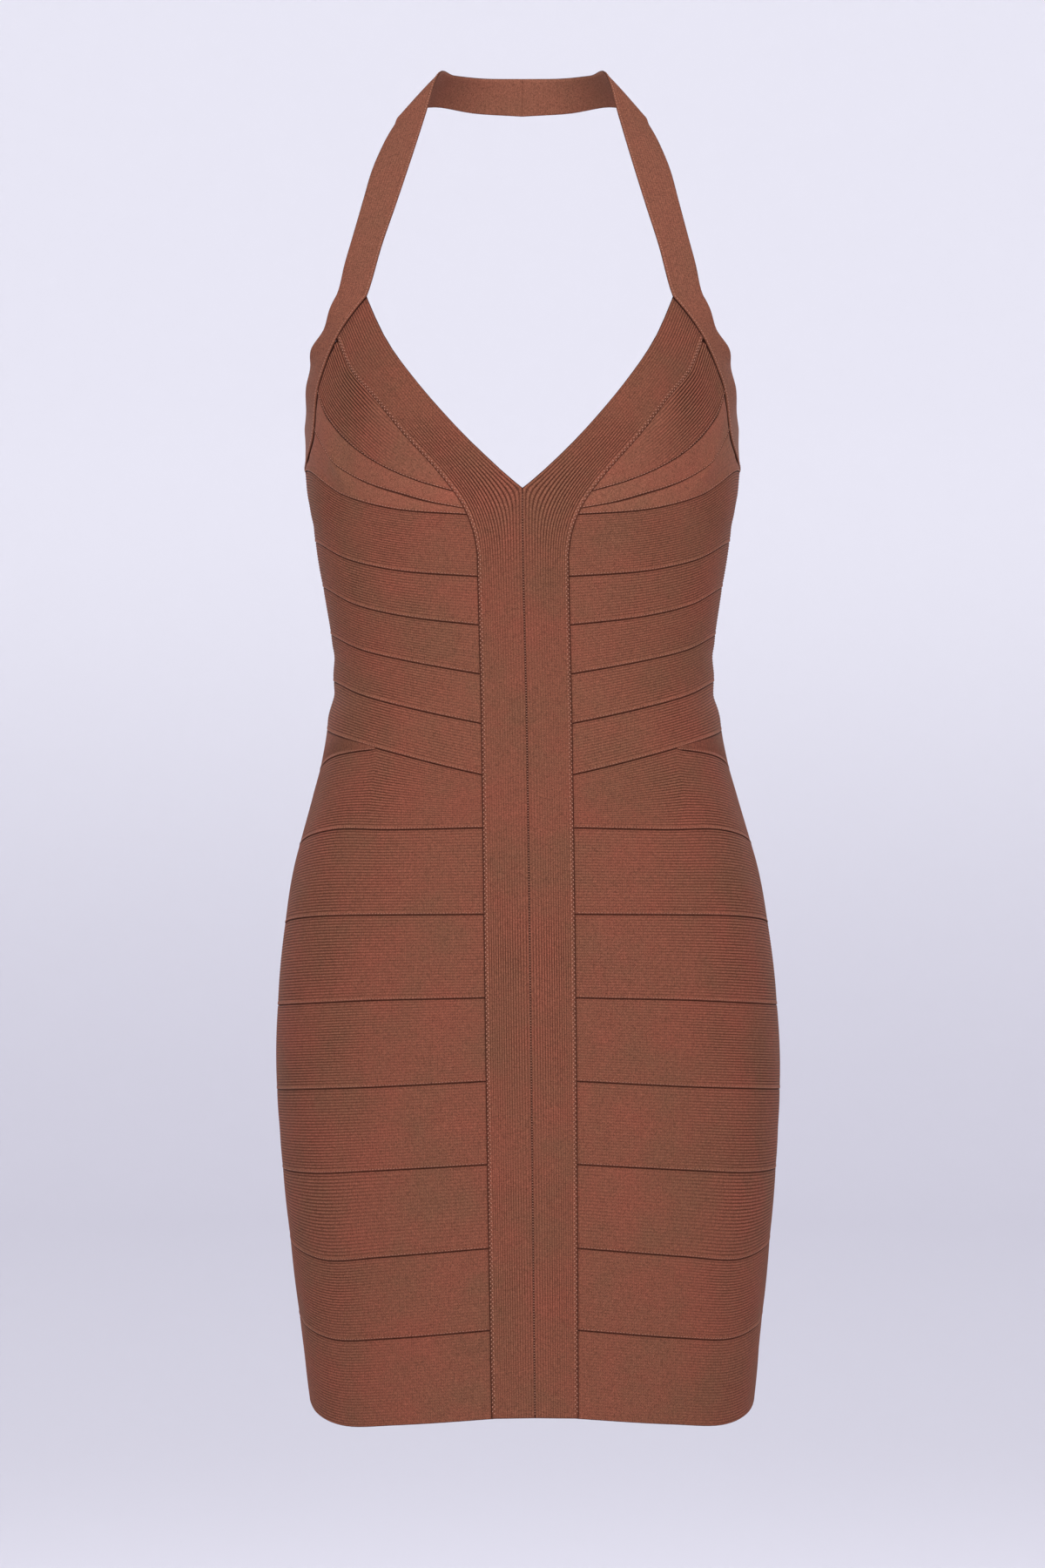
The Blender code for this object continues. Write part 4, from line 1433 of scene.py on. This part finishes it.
@dataclass
class LongStrip(ClothPiece):
    """The strip that edges the V neck and runs on down the centre front."""

    start: Edge = Edge.ROLLED
    end: Edge = Edge.ZIGZAGGED
    bottom: Edge = Edge.ROLLED
    ribs: Ribs = RibKind.LONG_STRIP.value
    ribs_run_down: bool = True
    plain_steps: int = 230
    edge_ribs: float = 0.75      # how far the ribs stand out at the strip's edges
    middle_ribs: float = 0.4     # and by how much more along its middle
    # drop, how far the ribs stand out there
    stretches: tuple[tuple[float, float], ...] = (
        (150.0, 0.7), (185.0, 0.75), (205.0, 0.4), (232.0, 0.3), (250.0, 0.85), (262.0, 1.1),
        (305.0, 1.0), (330.0, 0.5), (355.0, 0.3), (430.0, 0.25), (520.0, 0.4), (560.0, 0.7),
        (640.0, 0.7), (700.0, 0.45), (790.0, 0.55), (880.0, 0.4))
    # the ribs swing round the foot of the V in easy curves: reach and weight of each side
    easing: tuple[tuple[float, float], ...] = (
        (-0.036, 0.06), (-0.024, 0.12), (-0.012, 0.2), (0.0, 0.24), (0.012, 0.2),
        (0.024, 0.12), (0.036, 0.06))
    easing_starts: float = 0.06     # share of the strip's length within which it sets in

    def place(self, down: Array, round_: Array) -> tuple[Array, Array]:
        """Turn and drop at shares of the way down and across the strip.

        Args:
            down: shares of the way from the top edge to the bottom one.
            round_: shares of the way from the start to the end.

        Returns:
            The turn, and the drop.
        """
        down, round_ = np.broadcast_arrays(down, round_)
        inside = ramp(0.0, self.easing_starts, np.minimum(down, 1 - down))
        eased = arch(round_) * inside
        placed = [np.stack(self._ruled(down + reach * eased, round_)) * weight
                  for reach, weight in self.easing]
        turn, drop = np.sum(placed, axis=0)
        return turn, drop

    def relief(self, down: Array, round_: Array) -> Array:
        """How far the ribs stand out: most along its middle and round the foot of the V.

        Args:
            down: shares of the way from the top edge to the bottom one.
            round_: shares of the way from the start to the end.

        Returns:
            The share of their height at each place.
        """
        turn, drop = self.place(down, round_)
        drops, shown = zip(*self.stretches)
        across = self.edge_ribs + self.middle_ribs * arch(round_)
        return np.interp(drop, drops, shown) * across * self.cut.figure.patchiness(turn, drop)

    def _ruled(self, down: Array, round_: Array) -> tuple[Array, Array]:
        """Turn and drop on straight lines across the strip, from edge to edge.

        Args:
            down: shares of the way from the top edge to the bottom one.
            round_: shares of the way from the start to the end.

        Returns:
            The turn, and the drop.
        """
        inner_drops, outer_drops = (np.array(column) for column in zip(*self.cut.strip_sections))
        # stations are taken by how far apart they lie, so that the rows are even
        middles = (inner_drops + outer_drops) / 2
        numbers, reach = np.arange(len(middles)), middles[-1] - middles[0]
        station = np.interp(down * reach + middles[0], middles, numbers)
        # past either end they go on as far apart as the last two
        station = (station + np.minimum(down, 0.0) * reach / (middles[1] - middles[0])
                   + (np.maximum(down, 1.0) - 1.0) * reach / (middles[-1] - middles[-2]))
        inner = smooth(numbers, inner_drops, station)
        outer = smooth(numbers, outer_drops, station)
        turn = (self.cut.strip_inner_turn(inner) * (1 - round_)
                + self.cut.strip_outer_turn(outer) * round_)
        return turn, inner * (1 - round_) + outer * round_


@dataclass
class HalterStrap(ClothPiece):
    """The strap from the nape, over the shoulder and along the armhole."""

    top: Edge = Edge.ROLLED
    bottom: Edge = Edge.ROLLED
    start: Edge = Edge.BOUND
    end: Edge = Edge.ROLLED
    ribs: Ribs = RibKind.STRAP.value
    ribs_show: float = 0.2
    ribs_run_down: bool = True
    crown: float = 0.0           # it has its own instead:
    fullness: float = 0.6        # how far the strap swells along its middle
    crown_power: float = 0.7
    plain_steps: int = 210
    spare: float = 5.0           # millimetres that its lines run on past each end
    underarm_gap: float = 0.05   # share of the underarm's run before its first line
    # lines across the strap over the shoulder, along the armhole and under the arm
    crossings: tuple[int, int, int] = (180, 220, 30)
    # share of the strap's length, how far the armhole edge stands out there
    buckles: tuple[tuple[float, float], ...] = (
        (0.0, 0.0), (0.54, 0.0), (0.58, 0.5), (0.62, -0.6), (0.655, 1.5), (0.69, -1.3),
        (0.725, 1.4), (0.76, -1.0), (0.80, 1.1), (0.84, -0.4), (0.9, 0.5), (1.0, 0.0))
    sections: Array | None = None      # two edge points for each line across the strap

    def __post_init__(self) -> None:
        """Work out the strap's two edges, a little beyond each end too."""
        over = np.array(self.cut.strap_over_shoulder)
        over[:, :, 2] *= -1.0
        knots = np.concatenate((over, self._armhole(np.array([0.0, 1.0]))))
        numbers = np.arange(len(knots))
        shoulder_lines, armhole_lines, underarm_lines = self.crossings
        shoulder = np.linspace(0, len(over), shoulder_lines)[:-1]
        parts = [np.stack([np.stack([smooth(numbers, knots[:, e, k], shoulder)
                                     for k in range(3)], axis=-1) for e in (0, 1)], axis=1),
                 self._armhole(np.linspace(0, len(self.cut.strap_along_armhole) - 1,
                                           armhole_lines)),
                 self._underarm(np.linspace(self.underarm_gap, 1.0, underarm_lines))]
        found = np.concatenate(parts)
        before = found[0] - unit((found[3] - found[0]).mean(0)) * self.spare
        after = found[-1] + unit((found[-1] - found[-4]).mean(0)) * self.spare
        self.sections = np.concatenate(([before], found, [after]))

    def _on_figure(self, turn: Array, drop: Array) -> Array:
        """Points of the figure that the strap's edges lie on."""
        return self.cut.figure.points(turn, drop)

    def _armhole(self, at: Array) -> Array:
        """The two edges at places along the armhole.

        Args:
            at: row numbers of the cut's armhole table, with parts of a row.

        Returns:
            For each, the point on the cup side and the one on the armhole side.
        """
        columns = list(zip(*self.cut.strap_along_armhole))
        numbers = np.arange(len(self.cut.strap_along_armhole))
        inner_drop, arm_turn, arm_drop = (smooth(numbers, columns[k], at) for k in (1, 2, 3))
        return np.stack((self._on_figure(self.cut.armhole_turn(inner_drop), inner_drop),
                         self._on_figure(arm_turn, arm_drop)), axis=1)

    def _underarm(self, share: Array) -> Array:
        """The two edges from the foot of the armhole to the back top band.

        Args:
            share: shares of the way between them.

        Returns:
            For each, the lower point and the one on the armhole side.
        """
        row, end = self.cut.strap_along_armhole[-1], self.cut.strap_end_turn
        base = self.cut.seam("cup_base")
        inner_turn = row[0] + (end - row[0]) * share
        arm_turn = row[2] + (end - row[2]) * share
        arm_drop = row[3] + (base(end) - self.cut.strap_width - row[3]) * share
        return np.stack((self._on_figure(inner_turn, base(inner_turn)),
                         self._on_figure(arm_turn, arm_drop)), axis=1)

    def place(self, down: Array, round_: Array) -> tuple[Array, Array]:
        """The strap isn't laid out by turn and drop."""
        raise NotImplementedError

    def relief(self, down: Array, round_: Array) -> Array:
        """The strap's fine ribs stand out alike all over."""
        return np.full(np.broadcast(down, round_).shape, self.ribs_show)

    def base(self, down: Array, round_: Array) -> tuple[Array, Array]:
        """Plain points and outward normals at shares of the way down and across.

        Args:
            down: shares of the way from the top edge to the bottom one.
            round_: shares of the way from the start to the end.

        Returns:
            The points, in millimetres, and the normals.
        """
        down, round_ = np.broadcast_arrays(down, round_)
        length = path_length(self.sections.mean(axis=1))
        first, last = length[1], length[-2]
        at = first + (last - first) * down
        edges = [along_path(at, length, self.sections[:, e]) for e in (0, 1)]
        share = round_[..., None]
        points = edges[0] * (1 - share) + edges[1] * share
        normals = self._normals(at, length)
        stations, heights = zip(*self.buckles)
        buckle = smooth(stations, heights, np.clip(down, 0, 1)) * np.clip(round_, 0, 1) ** 2
        swell = arch(round_) ** self.crown_power * self.fullness
        return points + normals * (buckle + swell)[..., None], normals

    def _normals(self, at: Array, length: Array) -> Array:
        """Outward normals of the strap at distances along it.

        Args:
            at: the distances.
            length: distance along the strap to each of its lines.

        Returns:
            A vector 1 long for each.
        """
        centre = self.sections.mean(axis=1)
        across = unit(self.sections[:, 1] - self.sections[:, 0])
        normals = unit(np.cross(unit(np.gradient(centre, axis=0)), across))
        return unit(along_path(at, length, normals))


# ---- stitches --------------------------------------------------------------
class Stitch(NamedTuple):
    """Sizes of one kind of stitch, in millimetres."""

    pitch: float
    length: float
    width: float
    slant: float        # degrees to the seam, to one side and then the other
    sink: float         # how far its middle lies under the line that carries it
    swing: float        # how far to each side of that line it lies in turn
    inset: float        # of that line from the edge, into the piece
    lift: float         # of that line over the plain cloth


class StitchKind(Enum):
    """Stitches that the dress is sewn with."""

    CUP_SEAM = Stitch(2.1, 1.2, 0.44, 8.0, 0.05, 0.0, 0.5, 0.22)
    BAND_SEAM = Stitch(2.1, 1.2, 0.34, 8.0, 0.1, 0.0, 0.5, 0.22)
    ZIGZAG = Stitch(1.45, 1.15, 0.66, 30.0, -0.02, 0.6, 1.2, 0.14)
    BRIDGE = Stitch(1.7, 1.2, 0.42, 90.0, 0.08, 0.0, 0.0, -0.25)
    EDGE = Stitch(2.0, 1.1, 0.45, 12.0, -0.02, 0.0, 0.85, 0.34)


Run = tuple[StitchKind, tuple[Array, Array]]    # a line's kind of stitch, points and normals


@dataclass
class Stitching:
    """A run of stitches along one or more lines, joined in one mesh."""

    name: str
    side: Side
    cut: Cut
    finish: bpy.types.Material
    slot: str
    seed: int = 5
    # place along a stitch and its thickness there, over its length and width
    grain: tuple[tuple[float, float], ...] = ((-0.5, 0.0), (-0.3, 0.8), (0.3, 0.8), (0.5, 0.0))
    sides: int = 5
    wobble: float = 4.0       # degrees by which a stitch may lie askew
    unlike: float = 0.08      # share by which it may be longer or shorter

    def build(self, runs: list[Run]) -> bpy.types.Object:
        """Lay stitches along lines.

        Args:
            runs: for each line, its kind of stitch, and its points and normals.

        Returns:
            The joined stitches.
        """
        parts, faces, total = [], [], 0
        rng = np.random.default_rng(self.seed)
        for kind, (line, normals) in runs:
            points, grain_faces = self._run(kind.value, line, normals, rng)
            parts.append(points.reshape(-1, 3))
            count, each = points.shape[:2]
            for k in range(count):
                faces += [[total + k * each + v for v in face] for face in grain_faces]
            total += count * each
        points = self.cut.figure.worn(np.concatenate(parts), self.side)
        if self.side is Side.RIGHT:
            faces = [face[::-1] for face in faces]
        obj = add_mesh(self.name, points, faces, self.finish)
        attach(obj, "root")
        LOG.info("%s: %d faces", self.name, len(faces))
        return obj

    def _run(self, stitch: Stitch, line: Array, normals: Array,
             rng: np.random.Generator) -> tuple[Array, Faces]:
        """Points of every stitch along one line, and the faces of one stitch.

        Args:
            stitch: the stitch's sizes.
            line: points along the line.
            normals: outward normals there.
            rng: what makes the stitches a little unlike.

        Returns:
            Points, as an array for each stitch, and vertex numbers of each face.
        """
        length = path_length(line)
        count = max(2, int(length[-1] / stitch.pitch))
        at = (np.arange(count) + 0.5) / count * length[-1]
        middle = along_path(at, length, line)
        normal = unit(along_path(at, length, normals))
        along = unit(np.gradient(middle, axis=0))
        across = unit(np.cross(normal, along))
        turn_about = np.where(np.arange(count) % 2, 1.0, -1.0)[:, None]
        askew = rng.uniform(-self.wobble, self.wobble, (count, 1))
        slant = np.radians(stitch.slant * turn_about + askew)
        run = along * np.cos(slant) + across * np.sin(slant)
        wide = unit(np.cross(normal, run))
        middle = middle - normal * stitch.sink + across * stitch.swing * turn_about
        size = rng.uniform(1 - self.unlike, 1 + self.unlike, count)[:, None]
        rings = []
        for place, thickness in self.grain:
            centre = middle + run * (place * stitch.length * size)
            turns = np.arange(self.sides) * 2 * np.pi / self.sides if thickness else (0.0,)
            for turn in turns:
                out = wide * np.cos(turn) + normal * np.sin(turn)
                rings.append(centre + out * (thickness * stitch.width / 2))
        return np.stack(rings, axis=1), self._grain_faces()

    def _grain_faces(self) -> Faces:
        """Faces of one stitch: a tip, two rings and a tip.

        Returns:
            Vertex numbers of each face.
        """
        n = self.sides
        first, second, tip = 1, 1 + n, 1 + 2 * n
        faces = []
        for k in range(n):
            j = (k + 1) % n
            faces += [[0, first + j, first + k], [first + k, first + j, second + j, second + k],
                      [second + k, second + j, tip]]
        return faces


# ---- the dress -------------------------------------------------------------
@dataclass
class Dress:
    """Every piece of one side of the dress, and the stitches between them."""

    side: Side
    cut: Cut
    knit: bpy.types.Material
    strap_knit: bpy.types.Material
    thread: bpy.types.Material
    flat_ribs: float = 0.2      # how far the ribs of the smooth pieces stand out
    tip_gap: float = 3.0        # how far below its seam's upper end the upper cup begins
    # drops between which the centre seams are bridged
    front_seam: tuple[float, float] = (283.0, 876.0)
    back_seam: tuple[float, float] = (280.0, 880.0)
    seam_points: int = 500

    def named(self, piece: str) -> str:
        """A piece's name with this side's ending."""
        return f"{piece}_{self.side.suffix}"

    def common(self, piece: str, slot: str = "band_knit") -> dict:
        """What every piece of ribbed knit is made with."""
        return {"name": self.named(piece), "side": self.side, "cut": self.cut,
                "finish": self.strap_knit if slot == "strap_knit" else self.knit, "slot": slot}

    def sew(self, name: str, slot: str, runs: list[Run]) -> bpy.types.Object:
        """Make one mesh of stitches."""
        stitching = Stitching(self.named("stitches_" + name), self.side, self.cut,
                              self.thread, slot)
        return stitching.build(runs)

    @staticmethod
    def stitches(kind: StitchKind, piece: ClothPiece, edge: Border) -> Run:
        """A run of one kind of stitch beside an edge of a piece."""
        return kind, piece.stitch_line(edge, kind.value.inset, kind.value.lift)

    def build(self) -> None:
        """Make this side of the dress."""
        self._make_strip()
        self._make_cups()
        self._make_bands()
        self._make_straps()

    def _make_strip(self) -> None:
        """The long strip, its zigzag edge and the stitches across the centre seam."""
        strip = LongStrip(**self.common("long_strip", "strip_knit"))
        zigzag = self.stitches(StitchKind.ZIGZAG, strip, Border.END)
        strip.stitched = [self.sew("strip", "strip_knit", [zigzag])]
        if self.side is Side.LEFT:
            front = self._seam_bridge(0.0, self.front_seam)
            strip.stitched.append(self.sew("centre_front", "strip_knit", [front]))
        strip.build()

    def _seam_bridge(self, turn: float, drops: tuple[float, float]) -> Run:
        """Stitches across an upright seam, between two drops.

        Args:
            turn: degrees round the figure.
            drops: drops at which they begin and end.

        Returns:
            The kind of stitch, and the seam's points and normals.
        """
        drop = np.linspace(*drops, self.seam_points)
        centre = self.cut.figure.points(np.full_like(drop, turn), drop)
        normals = self.cut.figure.normals(np.full_like(drop, turn), drop)
        kind = StitchKind.BRIDGE
        return kind, (centre + normals * kind.value.lift, normals)

    def _make_cups(self) -> None:
        """The upper, middle and lower cup bands."""
        cut = self.cut
        upper, lower = cut.cup_line(cut.upper_cup_seam), cut.cup_line(cut.lower_cup_seam)
        apex = cut.cup_seam[0][1] + self.tip_gap
        tip = np.array([(float(cut.strip_outer_turn(apex)), apex),
                        (float(cut.armhole_turn(apex)), apex)])

        def tip_line(t: Array) -> Array:
            """The short line across the cup's tip."""
            share = np.asarray(t, float)[..., None]
            return tip[0] * (1 - share) + tip[1] * share

        base = cut.seam("cup_base")
        first, last = cut.seam_start(base), cut.strap_along_armhole[-1][0]

        def base_line(t: Array) -> Array:
            """The seam under the cups."""
            turn = first + (last - first) * np.asarray(t, float)
            return np.stack((turn, base(turn)), axis=-1)

        def sides(top: float, top_end: float, bottom: float, bottom_end: float) -> tuple:
            """The cup seam and the armhole seam between two drops each."""
            return (cut.drop_line(cut.strip_outer_turn, top, bottom),
                    cut.drop_line(cut.armhole_turn, top_end, bottom_end))

        drops = [(apex, apex), (upper(0.0)[1], upper(1.0)[1]), (lower(0.0)[1], lower(1.0)[1]),
                 (base_line(0.0)[1], base_line(1.0)[1])]
        lines = [tip_line, upper, lower, base_line]
        cups = [UpperCup(**self.common("cup_band_upper"), top=Edge.HIDDEN_TIP, end=Edge.SHADED,
                         edges=(lines[0], lines[1], *sides(*drops[0], *drops[1])))]
        for k, name, top in ((1, "middle", Edge.TUCKED), (2, "lower", Edge.SHADED)):
            cups.append(CupBand(**self.common("cup_band_" + name), top=top,
                                end=Edge.HOLLOWED, ribs=RibKind.LOWER_CUPS.value,
                                ribs_show=self.flat_ribs,
                                edges=(lines[k], lines[k + 1],
                                       *sides(*drops[k], *drops[k + 1]))))
        cups[0].stitched = [self.sew("cups", "band_knit", [
            self.stitches(StitchKind.CUP_SEAM, cup, Border.BOTTOM) for cup in cups])]
        for cup in cups:
            cup.build()

    def _make_bands(self) -> None:
        """The midriff, wedge and skirt bands."""
        cut, names = self.cut, self.cut.seam_names
        groups: dict[str, list[Band]] = {"midriff": [], "skirt": []}
        for above, name in zip(names[:-1], names[1:]):
            upper = cut.wedge_seam if above == "midriff_5" else cut.seam(above)
            part = "midriff" if name.startswith("midriff") else "skirt"
            band = Band(**self.common("band_" + name), upper=upper, lower=cut.seam(name),
                        ribs=RibKind[part.upper()].value,
                        bottom=Edge.ROLLED if name == "hem" else Edge.LAPPED)
            groups[part].append(band)
        wedge = Wedge(**self.common("band_hip_wedge"), ribs=RibKind.WEDGE.value,
                      upper=cut.seam("midriff_5"), lower=cut.wedge_seam,
                      first_turn=cut.wedge_start)
        groups["midriff"].append(wedge)
        for group, bands in groups.items():
            runs = [self.stitches(StitchKind.BAND_SEAM, band, Border.BOTTOM)
                    for band in bands if band.bottom is Edge.LAPPED]
            bands[0].stitched = [self.sew(group, "band_knit", runs)]
            if group == "skirt" and self.side is Side.LEFT:
                back = self._seam_bridge(180.0, self.back_seam)
                bands[0].stitched.append(self.sew("centre_back", "band_knit", [back]))
            for band in bands:
                band.build()

    def _make_straps(self) -> None:
        """The halter strap and the band that carries it on round the back."""
        cut = self.cut
        strap = HalterStrap(**self.common("halter_strap", "strap_knit"))
        strap.stitched = [self.sew("strap", "strap_knit", [
            self.stitches(StitchKind.EDGE, strap, Border.START)])]
        strap.build()
        base, end = cut.seam("cup_base"), cut.strap_end_turn

        def edge_line(rise: float) -> Edging:
            """A line round the back, so far above the under-bust seam.

            Args:
                rise: how far above it.

            Returns:
                A function from shares of the line to turns and drops.
            """
            def line(t: Array) -> Array:
                """Turns and drops at shares of the line."""
                turn = end + (180.0 - end) * np.asarray(t, float)
                return np.stack((turn, base(turn) - rise), axis=-1)
            return line

        def upright(turn: float) -> Edging:
            """A short line down across the band."""
            low = float(base(turn))
            return cut.drop_line(lambda drop: np.full_like(drop, turn),
                                 low - cut.strap_width, low)

        PatchPiece(**self.common("back_top_band", "strap_knit"), ribs_show=self.flat_ribs,
                   top=Edge.ROLLED, start=Edge.ROLLED, end=Edge.ROLLED,
                   edges=(edge_line(cut.strap_width), edge_line(0.0), upright(end),
                          upright(180.0))).build()


# ---- the studio ------------------------------------------------------------
class Softbox(NamedTuple):
    """A large square lamp."""

    name: str
    place: tuple[float, float, float]     # metres
    aim: tuple[float, float, float]
    size: float
    spread: float                         # degrees; less is a narrower beam
    watts: float


@dataclass(frozen=True)
class Studio:
    """Camera, soft lights and a pale floor that curves up all round."""

    eye: tuple[float, float, float] = (0.0, -2.666, -0.470)     # metres
    lens: float = 89.35             # millimetres
    sensor: float = 36.0            # millimetres
    floor_height: float = -1.35     # metres, like the other sizes of the floor
    floor_radius: float = 5.2       # where it begins to curve up
    wall_radius: float = 7.0
    wall_height: float = 5.0
    floor_hub: float = 0.02         # radius of the flat face in its middle
    bend_steps: int = 12
    round_steps: int = 96
    sky: str = "#f2f1f7"
    sky_strength: float = 1.15
    softboxes: tuple[Softbox, ...] = (
        Softbox("softbox_left", (-0.9, -3.2, 0.2), (0.0, 0.0, -0.4), 1.6, 80.0, 13.0),
        Softbox("softbox_right", (0.9, -3.2, 0.2), (0.0, 0.0, -0.4), 1.6, 80.0, 13.0),
        Softbox("softbox_back_left", (-2.0, 2.6, 0.6), (0.0, 0.0, -0.45), 1.6, 70.0, 8.0),
        Softbox("softbox_back_right", (2.0, 2.6, 0.6), (0.0, 0.0, -0.45), 1.6, 70.0, 8.0))

    def build(self) -> None:
        """Make the camera, the lights and the floor."""
        self._camera()
        self._lights()
        self._floor()

    def _camera(self) -> None:
        """A level camera, square on to the front."""
        data = bpy.data.cameras.new("front_camera")
        data.lens, data.sensor_width = self.lens, self.sensor
        camera = bpy.data.objects.new("front_camera", data)
        camera.location = self.eye
        camera.rotation_euler = (radians(90.0), 0.0, 0.0)
        bpy.context.scene.collection.objects.link(camera)
        bpy.context.scene.camera = camera

    def _lights(self) -> None:
        """Softboxes that face the dress, and an even sky."""
        for box in self.softboxes:
            data = bpy.data.lights.new(box.name, "AREA")
            data.size, data.energy, data.spread = box.size, box.watts, radians(box.spread)
            lamp = bpy.data.objects.new(box.name, data)
            lamp.location = box.place
            facing = Vector(box.aim) - Vector(box.place)
            lamp.rotation_euler = facing.to_track_quat("-Z", "Y").to_euler()
            bpy.context.scene.collection.objects.link(lamp)
        world = bpy.data.worlds.new("soft_sky")
        world.use_nodes = True
        sky = world.node_tree.nodes["Background"]
        sky.inputs["Color"].default_value = linear(self.sky)
        sky.inputs["Strength"].default_value = self.sky_strength
        bpy.context.scene.world = world
        bpy.context.scene.view_settings.view_transform = "Standard"

    def _floor(self) -> None:
        """A round floor that curves up into a wall, with no corner to see."""
        bend = np.linspace(0.0, np.pi / 2, self.bend_steps + 1)
        radius = self.wall_radius - self.floor_radius
        profile = [(self.floor_hub, 0.0), (self.floor_radius, 0.0)]
        profile += [(self.floor_radius + radius * np.sin(b), radius * (1 - np.cos(b)))
                    for b in bend[1:]]
        profile.append((self.wall_radius, self.wall_height))
        turns = np.linspace(0.0, 2 * np.pi, self.round_steps + 1)[:-1]
        points = np.array([[(r * np.cos(a), r * np.sin(a), self.floor_height + z)
                            for a in turns] for r, z in profile])
        numbers = np.arange(len(profile) * len(turns)).reshape(len(profile), len(turns))
        numbers = np.concatenate((numbers, numbers[:, :1]), axis=1)
        faces = [face[::-1] for face in grid_faces(numbers)] + [numbers[0, :-1].tolist()[::-1]]
        add_mesh("paper_floor", points.reshape(-1, 3), faces,
                          PaperBackdrop().material())


def main() -> None:
    """Build both sides of the dress, then the studio."""
    logging.basicConfig(level=logging.INFO, format="%(name)s %(message)s")
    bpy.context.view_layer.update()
    knit = BandageKnit("ribbed_bandage_knit").material()
    # the strap is knitted finer, so it looks smoother and a touch lighter
    strap_knit = BandageKnit("fine_bandage_knit", rib="#845442", patch_share=0.3, loop=1.2,
                             loop_height=0.06).material()
    thread = SewingThread().material()
    cut = Cut()
    for side in Side:
        Dress(side, cut, knit, strap_knit, thread).build()
    Studio().build()


if __name__ == "__main__":
    main()
